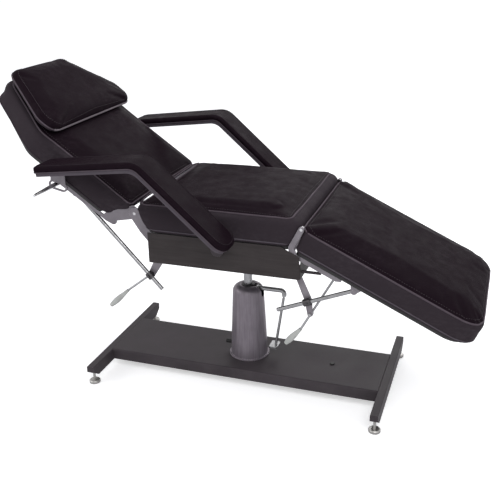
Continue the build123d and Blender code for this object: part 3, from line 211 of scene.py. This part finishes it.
def metal(name, pale, dull, rough, along):
    """Bare or plated metal with smudges and fine drawn lines."""
    look = Look(name, Metallic=1.0)
    look.soften(metal_edge)
    smudge = look.noise(scale=26.0, detail=5.0, rough=0.7)
    lines = look.noise(scale=1.0, detail=3.0, rough=0.7, at=look.place(along))
    share = look.maths("MULTIPLY", look.fit(smudge, 0.4, 0.75), look.fit(lines, 0.3, 0.8, 0.3, 1.0))
    look.set("Base Color", look.mix(share, pale, dull))
    smudged = look.fit(smudge, 0.35, 0.75, rough, rough + 0.14)
    look.set("Roughness", look.maths("ADD", smudged, look.fit(lines, 0.3, 0.8, 0.0, 0.08)))
    look.bump(look.noise(scale=700.0, detail=2.0), distance=0.0001, strength=0.15)
    return look.made


def plastic(name, base, worn, rough, grain):
    """Moulded plastic or thread with a fine texture and dusty patches."""
    look = Look(name, Metallic=0.0)
    look.set("Specular IOR Level", plastic_shine)
    look.soften(plastic_edge)
    dust = look.fit(look.noise(scale=30.0, detail=5.0, rough=0.65), 0.45, 0.75)
    look.set("Base Color", look.mix(dust, base, worn))
    look.set("Roughness", look.fit(dust, 0.0, 1.0, rough, min(rough + 0.2, 1.0)))
    look.bump(look.noise(scale=grain, detail=3.0, rough=0.6), distance=0.0003, strength=0.3)
    return look.made


def wood(name, deep, pale):
    """Board under a matt black wash, its grain just showing."""
    look = Look(name, Metallic=0.0)
    look.soften(wood_edge)
    fibres = look.noise(scale=1.0, detail=5.0, rough=0.65, at=look.place((6, 90, 120)))
    rings = look.noise(scale=3.0, detail=3.0, rough=0.5, at=look.place((1, 8, 8)), distortion=1.2)
    share = look.maths("MULTIPLY", look.fit(fibres, 0.35, 0.7), look.fit(rings, 0.3, 0.7, 0.4, 1.0))
    look.set("Base Color", look.mix(share, deep, pale))
    look.set("Roughness", look.fit(fibres, 0.3, 0.7, 0.55, 0.75))
    look.bump(fibres, distance=0.0004, strength=0.5)
    return look.made


top_vinyl = vinyl("vinyl_top", deep=(0.0100, 0.0056, 0.0086), worn=(0.022, 0.0145, 0.0195), rough=0.46)
# A lighter copy of the top vinyl for the cushions' sides: painted light, standing in for the sides
# catching more light than the tops
side_vinyl_painted_light = vinyl("vinyl_side_painted_light", deep=(0.033, 0.026, 0.031), worn=(0.052, 0.043, 0.049), rough=0.52)
band_vinyl = vinyl("vinyl_band", deep=(0.085, 0.073, 0.085), worn=(0.13, 0.115, 0.13), rough=0.5)
piping_vinyl = vinyl("vinyl_piping", deep=(0.085, 0.068, 0.080), worn=(0.135, 0.112, 0.128), rough=0.45)
pillow_band = vinyl("vinyl_pillow_band", deep=(0.17, 0.145, 0.16), worn=(0.24, 0.21, 0.23), rough=0.45)
thread = plastic("thread", base=(0.05, 0.04, 0.046), worn=(0.08, 0.07, 0.076), rough=0.6, grain=3000.0)
frame_paint = paint(
    "paint_frame", deep=(0.044, 0.037, 0.041), pale=(0.068, 0.058, 0.064), rough=0.45, metallic=0.05
)
skirt_paint = paint(
    "paint_skirt", deep=(0.030, 0.025, 0.025), pale=(0.050, 0.043, 0.043), rough=0.48, metallic=0.03,
    streak=(5, 5, 60)
)
pump_paint = paint(
    "paint_pump", deep=(0.15, 0.13, 0.15), pale=(0.30, 0.27, 0.30), rough=0.34, metallic=0.4,
    streak=(70, 70, 3)
)
plate_paint = paint(
    "paint_plates", deep=(0.16, 0.145, 0.16), pale=(0.28, 0.26, 0.28), rough=0.38, metallic=0.3
)
steel = metal("steel", pale=(0.36, 0.36, 0.37), dull=(0.18, 0.175, 0.18), rough=0.3, along=(200, 200, 8))
chrome = metal("chrome", pale=(0.66, 0.66, 0.67), dull=(0.42, 0.41, 0.42), rough=0.14, along=(30, 30, 30))
# Chrome with a darker base colour: painted dark reflection, standing in for the dark surroundings that the
# struts and column mirror
chrome_painted_dark_reflection = metal(
    "chrome_painted_dark_reflection", pale=(0.34, 0.34, 0.35), dull=(0.16, 0.155, 0.16), rough=0.2, along=(40, 40, 40)
)
dark_steel = metal(
    "dark_steel", pale=(0.09, 0.085, 0.09), dull=(0.04, 0.04, 0.04), rough=0.38, along=(120, 120, 10)
)
grip_plastic = plastic(
    "grip_plastic", base=(0.44, 0.45, 0.43), worn=(0.35, 0.35, 0.33), rough=0.28, grain=900.0
)
black_plastic = plastic(
    "black_plastic", base=(0.010, 0.010, 0.010), worn=(0.03, 0.03, 0.03), rough=0.5, grain=1200.0
)
zinc_foot = metal(
    "foot_metal", pale=(0.42, 0.41, 0.40), dull=(0.24, 0.23, 0.22), rough=0.34, along=(60, 60, 60)
)
black_board = wood("board_black", deep=(0.010, 0.009, 0.010), pale=(0.030, 0.026, 0.026))

looks = {
    "seat_board": black_board, "back_board": black_board, "leg_board": black_board,
    "near_arm_board": band_vinyl, "far_arm_board": band_vinyl,
    "base_plate": frame_paint, "crossbar_head": frame_paint, "crossbar_foot": frame_paint,
    "seat_beams": frame_paint, "seat_rails": frame_paint, "arm_mounts": frame_paint,
    "stop_bar": frame_paint, "arm_rod_lugs": frame_paint,
    "skirt": skirt_paint, "pump_cover": pump_paint,
    "back_hinge_plates": plate_paint, "back_hinge_arms": plate_paint,
    "leg_hinge_plates": plate_paint, "leg_hinge_arms": plate_paint,
    "back_bracket": plate_paint, "leg_bracket": plate_paint,
    "near_arm_hanger": plate_paint, "far_arm_hanger": plate_paint,
    "near_arm_pivot_plate": plate_paint, "far_arm_pivot_plate": plate_paint,
    "back_lug": plate_paint, "leg_lug": plate_paint,
    "pump_lever": steel, "pedal_rod": steel, "foot_tread": steel, "lever_pivot_pin": steel,
    "back_lever": steel, "leg_lever": steel, "column_bolts": steel, "pump_bolts": steel,
    "pump_cylinder": dark_steel, "back_clamp": dark_steel, "leg_clamp": dark_steel,
    # The column and struts take the darkened chrome: painted dark reflection
    "lift_column": chrome_painted_dark_reflection, "back_strut": chrome_painted_dark_reflection, "leg_strut": chrome_painted_dark_reflection,
    "back_hinge_pins": chrome, "leg_hinge_pins": chrome, "arm_pins": chrome, "arm_rod": chrome,
    "back_grip": grip_plastic, "leg_grip": grip_plastic,
    "plate_plug": black_plastic, "release_stub": black_plastic,
    "foot_head_near": zinc_foot, "foot_head_far": zinc_foot,
    "foot_foot_near": zinc_foot, "foot_foot_far": zinc_foot,
}
for name, look in looks.items():
    data = nodes[name].data
    data.materials.clear()
    data.materials.append(look)


# Meshes
def add_object(name, mesh):
    made = bpy.data.objects.new(name, mesh)
    scene.collection.objects.link(made)
    return made


def settle(obj):
    """Applies the modifiers of an object to its mesh."""
    bpy.context.view_layer.update()
    baked = bpy.data.meshes.new_from_object(obj.evaluated_get(bpy.context.evaluated_depsgraph_get()))
    obj.modifiers.clear()
    old = obj.data
    obj.data = baked
    if old.users == 0:
        bpy.data.meshes.remove(old)


def read_points(mesh):
    points = np.zeros(len(mesh.vertices) * 3)
    mesh.vertices.foreach_get("co", points)
    return points.reshape(-1, 3)


def write_points(mesh, points):
    mesh.vertices.foreach_set("co", np.asarray(points, np.float32).ravel())
    mesh.update()


def tree_of(obj):
    """A tree of an object's faces, for casting rays at it."""
    made = bmesh.new()
    made.from_mesh(obj.data)
    tree = BVHTree.FromBMesh(made)
    made.free()
    return tree


def add_ring(made, centre, side, other, radius, sides):
    """Points round a centre, in the plane of two directions."""
    turns = [2 * pi * k / sides for k in range(sides)]
    return [made.verts.new(centre + (side * cos(turn) + other * sin(turn)) * radius) for turn in turns]


def bridge(made, first, second):
    """Faces between two rings of one count."""
    for k in range(len(first)):
        after = (k + 1) % len(first)
        made.faces.new((first[k], second[k], second[after], first[after]))


def close_ends(made, rings):
    made.faces.new(rings[0])
    made.faces.new(list(reversed(rings[-1])))


def finish_piece(made, name, look, body, smooth):
    """Turns a built mesh into a piece that rides on a body."""
    bmesh.ops.recalc_face_normals(made, faces=made.faces)
    mesh = bpy.data.meshes.new(name)
    made.to_mesh(mesh)
    made.free()
    if smooth:
        mesh.shade_smooth()
    mesh.materials.append(look)
    obj = add_object(name, mesh)
    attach(obj, body)


def tube(name, points, radius, look, body, closed=True, sides=10):
    """A round tube along a path: a loop, or a run with closed ends."""
    points = [Vector(point) for point in points]
    last = len(points) - 1
    made = bmesh.new()
    rings = []
    up = None
    for i, point in enumerate(points):
        ahead = points[(i + 1) % len(points)] if closed or i < last else point
        behind = points[i - 1] if closed or i else point
        run = (ahead - behind).normalized()
        if up is None:
            up = Vector((0, 0, 1)) if abs(run.z) < 0.9 else Vector((1, 0, 0))
        up = (up - run * up.dot(run)).normalized()
        rings.append(add_ring(made, point, up, run.cross(up), radius, sides))
    for first, second in zip(rings, rings[1:]):
        bridge(made, first, second)
    if closed:
        bridge(made, rings[-1], rings[0])
    else:
        close_ends(made, rings)
    finish_piece(made, name, look, body, smooth=True)


# Sections
class Section:
    """A section's own axes: run along it, across it and out of its top."""

    def __init__(self, origin, run):
        self.origin = np.array(origin)
        self.run = np.array(run)
        # A quarter turn from the run, and upwards whichever way the section points
        self.out = np.array((-run[2], 0, run[0])) if run[0] > 0 else np.array((run[2], 0, -run[0]))
        self.across = np.array((0.0, 1.0, 0.0))

    def local(self, points):
        offset = np.asarray(points) - self.origin
        return np.stack([offset @ self.run, offset @ self.across, offset @ self.out], 1)

    def world(self, points):
        points = np.atleast_2d(points)
        along, across, out = points[:, :1], points[:, 1:2], points[:, 2:3]
        return self.origin + along * self.run + across * self.across + out * self.out


# Each hinge's place, and how far its section is turned from flat as photographed
back_hinge, leg_hinge = (pump_x - 0.306, 0, 0.714), (pump_x + 0.281, 0, 0.715)
back_turn, leg_turn = radians(36), radians(25.5)
seat_axes = Section((pump_x, 0, 0), (1, 0, 0))
back_axes = Section(back_hinge, (-cos(back_turn), 0, sin(back_turn)))
leg_axes = Section(leg_hinge, (cos(leg_turn), 0, -sin(leg_turn)))

# Upholstery sizes: a cushion's voxels, its swell past the CAD node along, across and out,
# the depth and half width of the dip at its seam, and the height of its lower piping
cushion_voxel = 0.0085
pad_voxel = 0.005
cushion_swell = np.array((0.006, 0.001, 0.0015))
seam_depth, seam_width = 0.0018, 0.010
lower_piping_height = 0.012
piping_radius, lower_piping_radius, crease_piping_radius = 0.0031, 0.0024, 0.0030
pillow_band_radius, arm_piping_radius, arm_seam_radius = 0.0042, 0.0019, 0.0009

# Stitches: how far inside the piping they lie, their pitch, length, radius and height off the vinyl
stitch_inset, stitch_pitch, stitch_length = 0.013, 0.009, 0.0055
stitch_radius, stitch_lift = 0.0006, 0.0006
stitch_sides = 6

# The cover as cloth: how many frames pressure gets, and how stiff it is
cloth_frames = 20
cloth_stretch, cloth_shear, cloth_bend = 18, 6, 1.2


def rounded(name, source, voxel, passes):
    """A copy of a CAD node's mesh with its corners rounded."""
    obj = add_object(name, nodes[source].data.copy())
    obj.data.materials.clear()
    remesh = obj.modifiers.new("voxels", "REMESH")
    remesh.mode = "VOXEL"
    remesh.voxel_size = voxel
    settle(obj)
    rounding = obj.modifiers.new("rounding", "SMOOTH")
    rounding.factor = 0.5
    rounding.iterations = passes
    settle(obj)
    return obj


def firmness(height, low, seam):
    """How firmly a cover is held at each height, from 0 to 1: at its foot and along its seam."""
    foot_blend, seam_blend, seam_hold = 0.006, 0.007, 0.9
    foot = np.clip((low + foot_blend - height) / foot_blend + 1, 0, 1)
    line = np.exp(-(((height - seam) / seam_blend) ** 2))
    return np.clip(np.maximum(foot, line * seam_hold), 0, 1)


def inflate(obj, weights, pressure, cap):
    """Lets pressure fill a cover that is held by weights. No point moves further than the cap."""
    start = read_points(obj.data)
    # The weights are given in ten levels, each with the points that lie nearest to it
    level_reach = 0.0501
    group = obj.vertex_groups.new(name="held")
    for level in np.linspace(0.1, 1.0, 10):
        chosen = np.where(np.abs(weights - level) < level_reach)[0]
        if len(chosen):
            group.add([int(i) for i in chosen], float(level), "REPLACE")
    cloth = obj.modifiers.new("cloth", "CLOTH")
    settings = cloth.settings
    settings.quality = 5
    settings.mass = 0.3
    settings.tension_stiffness = cloth_stretch
    settings.compression_stiffness = cloth_stretch
    settings.shear_stiffness = cloth_shear
    settings.bending_stiffness = cloth_bend
    settings.use_pressure = True
    settings.uniform_pressure_force = pressure
    settings.vertex_group_mass = "held"
    settings.effector_weights.gravity = 0.0
    cloth.point_cache.frame_start = 1
    cloth.point_cache.frame_end = cloth_frames
    for step in range(1, cloth_frames + 1):
        scene.frame_set(step)
    settle(obj)
    scene.frame_set(1)
    moved = read_points(obj.data) - start
    reach = np.linalg.norm(moved, axis=1, keepdims=True)
    moved *= np.minimum(1.0, cap / np.maximum(reach, 1e-9))
    write_points(obj.data, start + moved)
    obj.vertex_groups.clear()


def stretch_back(obj, source, axes, swell):
    """Stretches a cover, which rounding drew in, to its CAD node's reach and a swell past it."""
    wide = axes.local(read_points(nodes[source].data))
    drawn = axes.local(read_points(obj.data))
    low, high = wide.min(0) - swell, wide.max(0) + swell
    share = (drawn - drawn.min(0)) / (drawn.max(0) - drawn.min(0))
    write_points(obj.data, axes.world(low + share * (high - low)))


def draw_in(obj, axes, seam):
    """Draws a cover's sides in a little along its seam."""
    points = read_points(obj.data)
    near = np.exp(-(((axes.local(points)[:, 2] - seam) / seam_width) ** 2))
    normals = np.zeros(len(obj.data.vertices) * 3)
    obj.data.vertex_normals.foreach_get("vector", normals)
    normals = normals.reshape(-1, 3)
    sideways = 1 - np.abs(normals @ axes.out) ** 2
    points -= normals * (near * sideways * seam_depth)[:, None]
    write_points(obj.data, points)


def fill_rear(obj):
    """Lets the seat's rear face swell out towards its hinge plates, below the crease."""
    rear_start, rear_blend = pump_x - 0.225, 0.02
    swell, middle, spread = 0.012, 0.688, 0.028
    points = read_points(obj.data)
    behind = np.clip((rear_start - points[:, 0]) / rear_blend, 0, 1)
    points[:, 0] -= behind * swell * np.exp(-(((points[:, 2] - middle) / spread) ** 2))
    write_points(obj.data, points)


def measured(path):
    """A closed path with its first point repeated at its end, and the length run at each point."""
    closed = np.vstack([path, path[:1]])
    steps = np.linalg.norm(np.diff(closed, axis=0), axis=1)
    return closed, np.concatenate([[0], np.cumsum(steps)])


def outline_of(obj, axes, height, middle):
    """Points round the outside of a cushion at one height, evenly spaced.

    Rays go out from a point inside it, at a middle run along the section.
    """
    rays, count, past_face, smoothings = 720, 220, 0.0005, 2
    tree = tree_of(obj)
    origin = Vector(axes.world((middle, 0, height))[0])
    found = []
    for k in range(rays):
        turn = 2 * pi * k / rays
        heading = Vector(axes.run * cos(turn) + axes.across * sin(turn))
        hit = tree.ray_cast(origin, heading)[0]
        if hit is not None:
            last = hit
            while True:
                again = tree.ray_cast(last + heading * past_face, heading)[0]
                if again is None:
                    break
                last = again
            found.append(np.array(last))
    closed, length = measured(np.array(found))
    marks = np.linspace(0, length[-1], count, endpoint=False)
    even = np.stack([np.interp(marks, length, closed[:, i]) for i in range(3)], 1)
    for _ in range(smoothings):
        even = (np.roll(even, 1, 0) + even * 2 + np.roll(even, -1, 0)) / 4
    return even


def stitches(name, path, axes, tree, look, body):
    """Stitches laid on a cushion, a fixed way inside its piping."""
    above_cushion = 0.06
    # Where each ring of a stitch lies along it, and its radius as a share of the thread's
    profile = ((0, 0.35), (0.25, 1), (0.75, 1), (1, 0.35))
    centre = path.mean(0)
    closed, run = measured(path)
    made = bmesh.new()
    for i in range(int(run[-1] / stitch_pitch)):
        ends = []
        for mark in (i * stitch_pitch, i * stitch_pitch + stitch_length):
            place = np.array([np.interp(mark, run, closed[:, k]) for k in range(3)])
            pull = centre - place
            pull -= axes.out * (pull @ axes.out)
            pull /= np.linalg.norm(pull)
            above = Vector(place + pull * stitch_inset + axes.out * above_cushion)
            hit, normal = tree.ray_cast(above, Vector(-axes.out))[:2]
            if hit is None:
                break
            ends.append(hit + normal * stitch_lift)
        if len(ends) < 2:
            continue
        heading = (ends[1] - ends[0]).normalized()
        side = heading.orthogonal().normalized()
        other = heading.cross(side)
        rings = [
            add_ring(made, ends[0].lerp(ends[1], share), side, other, stitch_radius * size, stitch_sides)
            for share, size in profile
        ]
        for first, second in zip(rings, rings[1:]):
            bridge(made, first, second)
        close_ends(made, rings)
    finish_piece(made, name, look, body, smooth=False)


def cover(obj, source, body, axes, seam):
    """Gives a cushion its top vinyl and, below the seam, a lighter copy of it that paints light on its
    sides, and puts it in place of its CAD node.
    """
    finer = obj.modifiers.new("finer", "SUBSURF")
    finer.levels = finer.render_levels = 1
    settle(obj)
    obj.data.materials.clear()
    obj.data.materials.append(top_vinyl)
    obj.data.materials.append(side_vinyl_painted_light)
    centres = np.zeros(len(obj.data.polygons) * 3)
    obj.data.polygons.foreach_get("center", centres)
    height = axes.local(centres.reshape(-1, 3))[:, 2]
    # Faces below the seam take the lighter vinyl: painted light on the cushion's sides
    obj.data.polygons.foreach_set("material_index", (height < seam).astype(np.int32))
    obj.data.shade_smooth()
    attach(obj, body)
    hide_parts(source)


def upholster(
    name, source, body, axes, low, top, middle, lower_look, pressure=4.5, cap=0.014, share=0.8
):
    """Upholsters a cushion and returns the line of its seam.

    The seam lies a share of the way from low, the cushion's foot, up to top. Its outline is
    seen from a point inside it, at a middle run along the section.
    """
    seam = low + (top - low) * share
    obj = rounded(name, source, cushion_voxel, passes=6)
    height = axes.local(read_points(obj.data))[:, 2]
    inflate(obj, firmness(height, low, seam), pressure, cap)
    stretch_back(obj, source, axes, cushion_swell)
    draw_in(obj, axes, seam)
    if source == "seat_cushion":
        fill_rear(obj)
    cover(obj, source, body, axes, seam)
    line = outline_of(obj, axes, seam, middle)
    tube(name + "_piping", line, piping_radius, piping_vinyl, body)
    lower = outline_of(obj, axes, low + lower_piping_height, middle)
    tube(name + "_lower_piping", lower, lower_piping_radius, lower_look, body)
    stitches(name + "_stitches", line, axes, tree_of(obj), thread, body)
    return line


upholster(
    "seat_upholstery", "seat_cushion", "seat", seat_axes,
    low=0.652, top=0.768, middle=0.0, lower_look=band_vinyl
)
# The backrest's and pillow's lower piping take the lighter vinyl that paints light on the sides
upholster(
    "back_upholstery", "back_cushion", "backrest", back_axes,
    low=-0.076, top=0.034, middle=0.34, lower_look=side_vinyl_painted_light
)
upholster(
    "leg_upholstery", "leg_cushion", "leg_rest", leg_axes,
    low=-0.076, top=0.020, middle=0.32, lower_look=band_vinyl
)
pillow_line = upholster(
    "pillow_upholstery", "pillow", "backrest", back_axes,
    low=0.036, top=0.090, middle=0.53, lower_look=side_vinyl_painted_light, pressure=3.0, cap=0.008, share=0.24
)

# The pale band along the pillow's front edge, as far as the edge bends round its corners
front_reach = 0.012
front = pillow_line[np.argsort(pillow_line[:, 1])]
run = back_axes.local(front)[:, 0]
front = front[run < run.min() + front_reach]
tube("pillow_front_band", front, pillow_band_radius, pillow_band, "backrest", closed=False)

for side_name, body in (("near", "near_arm"), ("far", "far_arm")):
    source = side_name + "_arm_pad"
    pad = rounded(source + "_cover", source, pad_voxel, passes=3)
    stretch_back(pad, source, seat_axes, swell=0.0)
    pad.data.materials.append(top_vinyl)
    pad.data.shade_smooth()
    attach(pad, body)
    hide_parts(source)

# The armrest's top line: its back end, its bend and its front end
arm_back = Vector((pump_x - 0.597, 0, 0.894))
arm_bend = Vector((pump_x - 0.218, 0, 0.937))
arm_front = Vector((pump_x + 0.078, 0, 0.673))
arm_bend_radius, arm_front_radius, arm_back_radius = 0.070, 0.044, 0.018
arm_turn = (arm_bend - arm_back).angle(arm_front - arm_bend)

# How far each line lies below the top line and inside the armrest's sides
arm_piping_drop, arm_piping_inset = 0.0205, 0.0005
arm_seam_drop, arm_seam_inset = -0.0002, 0.009


def square_to(heading):
    """The direction below a heading in the plane of X and Z."""
    return Vector((heading.z, 0, -heading.x))


def arm_point(run, drop):
    """A point at a run along the armrest's bent top line and a drop square below it."""
    ahead, down = (arm_bend - arm_back).normalized(), (arm_front - arm_bend).normalized()
    cut = arm_bend_radius * math.tan(arm_turn / 2)
    straight = (arm_bend - arm_back).length - cut
    arc = arm_bend_radius * arm_turn
    if run <= straight:
        place, heading = arm_back + ahead * run, ahead
    elif run <= straight + arc:
        part = (run - straight) / arm_bend_radius
        heading = (Matrix.Rotation(part, 3, "Y") @ ahead).normalized()
        hub = arm_back + ahead * straight + square_to(ahead) * arm_bend_radius
        place = hub - square_to(heading) * arm_bend_radius
    else:
        place, heading = arm_bend + down * (cut + run - straight - arc), down
    return place + square_to(heading) * drop


def arm_length():
    """The length of the armrest's top line, which its bend makes shorter."""
    spare = arm_bend_radius * (2 * math.tan(arm_turn / 2) - arm_turn)
    return (arm_bend - arm_back).length + (arm_front - arm_bend).length - spare


def arm_loop(middle, half, drop, inset):
    """The armrest's rim at one drop, with round corners at its front and back ends."""
    corner_steps, rim_step = 8, 0.008
    length = arm_length()
    corners = (
        (length - inset, half, arm_front_radius, 0), (inset, half, arm_back_radius, pi / 2),
        (inset, -half, arm_back_radius, pi), (length - inset, -half, arm_front_radius, 3 * pi / 2),
    )
    loop = []
    for run, out, radius, start in corners:
        centre_run = run - radius if run > length / 2 else run + radius
        centre_out = out - radius if out > 0 else out + radius
        for k in range(corner_steps + 1):
            angle = start + pi / 2 * k / corner_steps
            loop.append((centre_run + radius * cos(angle), centre_out + radius * sin(angle)))
    dense = []
    for (a, b), (c, d) in zip(loop, loop[1:] + loop[:1]):
        count = max(1, int(math.hypot(c - a, d - b) / rim_step))
        dense += [(a + (c - a) * k / count, b + (d - b) * k / count) for k in range(count)]
    return [arm_point(run, drop) + Vector((0, middle + out, 0)) for run, out in dense]


for side_name, body in (("near", "near_arm"), ("far", "far_arm")):
    low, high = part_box(side_name + "_arm_pad")
    middle_y, half_y = (low.y + high.y) / 2, (high.y - low.y) / 2
    rim = arm_loop(middle_y, half_y - arm_piping_inset, arm_piping_drop, arm_piping_inset)
    tube(side_name + "_arm_piping", rim, arm_piping_radius, piping_vinyl, body, sides=8)
    crown = arm_loop(middle_y, half_y - arm_seam_inset, arm_seam_drop, arm_seam_inset)
    # The top seam takes the lighter vinyl that paints light on the sides
    tube(side_name + "_arm_top_seam", crown, arm_seam_radius, side_vinyl_painted_light, body, sides=6)

# Piping in the crease between the seat and the backrest, which dips at both of its ends
crease_forward, crease_drop, crease_dip, crease_inset = 0.002, 0.012, 0.010, 0.030
crease_half_steps, crease_dip_power = 8, 8
low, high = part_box("seat_cushion")
crease_half = high.y - crease_inset
crease = [
    (
        low.x + crease_forward,
        crease_half * share,
        high.z - crease_drop - crease_dip * abs(share) ** crease_dip_power,
    )
    for share in (k / crease_half_steps - 1 for k in range(2 * crease_half_steps + 1))
]
tube("crease_piping", crease, crease_piping_radius, piping_vinyl, "seat", closed=False)

# Floor, which glows a little so that it comes out white
glow_on_couch, glow_in_view = 0.10, 0.52
bpy.ops.mesh.primitive_plane_add(size=90, location=(0, 0, 0))
floor = bpy.context.object
floor.name = "floor"
floor_look = Look("floor_white", Roughness=0.75)
floor_look.set("Base Color", (0.93, 0.93, 0.93))
floor_look.set("Emission Color", (1, 1, 1))
seen_floor = floor_look.node("ShaderNodeLightPath").outputs["Is Camera Ray"]
floor_look.set("Emission Strength", floor_look.fit(seen_floor, 0.0, 1.0, glow_on_couch, glow_in_view))
floor.data.materials.append(floor_look.made)

# World: plain white where it is seen, mirrored or seen through, and dimmer as a light
sky_colour, sky_strength = (0.93, 0.94, 1.0, 1), 0.55
world = bpy.data.worlds.new("studio")
scene.world = world
world.use_nodes = True
sky = world.node_tree
sky.nodes.clear()
out = sky.nodes.new("ShaderNodeOutputWorld")
seen = sky.nodes.new("ShaderNodeBackground")
seen.inputs["Color"].default_value = (1, 1, 1, 1)
seen.inputs["Strength"].default_value = 1.0
lit = sky.nodes.new("ShaderNodeBackground")
lit.inputs["Color"].default_value = sky_colour
lit.inputs["Strength"].default_value = sky_strength
ray = sky.nodes.new("ShaderNodeLightPath")
total = sky.nodes.new("ShaderNodeMath")
total.operation = "ADD"
more = sky.nodes.new("ShaderNodeMath")
more.operation = "ADD"
more.use_clamp = True
choose = sky.nodes.new("ShaderNodeMixShader")
sky.links.new(ray.outputs["Is Camera Ray"], total.inputs[0])
sky.links.new(ray.outputs["Is Glossy Ray"], total.inputs[1])
sky.links.new(total.outputs[0], more.inputs[0])
sky.links.new(ray.outputs["Is Transmission Ray"], more.inputs[1])
sky.links.new(more.outputs[0], choose.inputs[0])
sky.links.new(lit.outputs[0], choose.inputs[1])
sky.links.new(seen.outputs[0], choose.inputs[2])
sky.links.new(choose.outputs[0], out.inputs[0])


def lamp(name, place, aim, size, power):
    """A rectangular lamp that faces the point it is aimed at."""
    light = bpy.data.lights.new(name, "AREA")
    light.shape = "RECTANGLE"
    light.size, light.size_y = size
    light.energy = power
    obj = bpy.data.objects.new(name, light)
    scene.collection.objects.link(obj)
    obj.location = place
    obj.rotation_mode = "QUATERNION"
    obj.rotation_quaternion = (Vector(aim) - Vector(place)).to_track_quat("-Z", "Y")


lamp("key", place=(1.6, -2.6, 3.2), aim=(0.0, 0, 0.6), size=(2.4, 1.6), power=52)
lamp("side_fill", place=(-3.2, -1.6, 2.0), aim=(0, 0, 0.6), size=(1.8, 1.8), power=30)
lamp("top", place=(0.0, 0.6, 3.6), aim=(0, 0, 0.5), size=(3.0, 1.6), power=32)
lamp("back_rim", place=(0.5, 3.4, 2.2), aim=(0, 0, 0.7), size=(3.0, 1.2), power=28)

# Camera, fitted to the photograph
yaw, pitch, roll = radians(-19.297), radians(-22.064), radians(-1.1835)
camera_place = (0.8721 + pump_x, -2.4623, 1.5642)
focal_length, sensor_width = 54.775, 36
ahead = Vector((sin(yaw) * cos(pitch), cos(yaw) * cos(pitch), sin(pitch)))
right = Vector((cos(yaw), -sin(yaw), 0))
above = right.cross(ahead)
turned_right = right * cos(roll) + above * sin(roll)
turned_up = above * cos(roll) - right * sin(roll)
lens = bpy.data.cameras.new("camera")
lens.lens = focal_length
lens.sensor_width = sensor_width
camera = bpy.data.objects.new("camera", lens)
scene.collection.objects.link(camera)
rows = Matrix((turned_right, turned_up, -ahead)).transposed()
camera.matrix_world = Matrix.Translation(camera_place) @ rows.to_4x4()
scene.camera = camera
scene.view_settings.view_transform = "Standard"
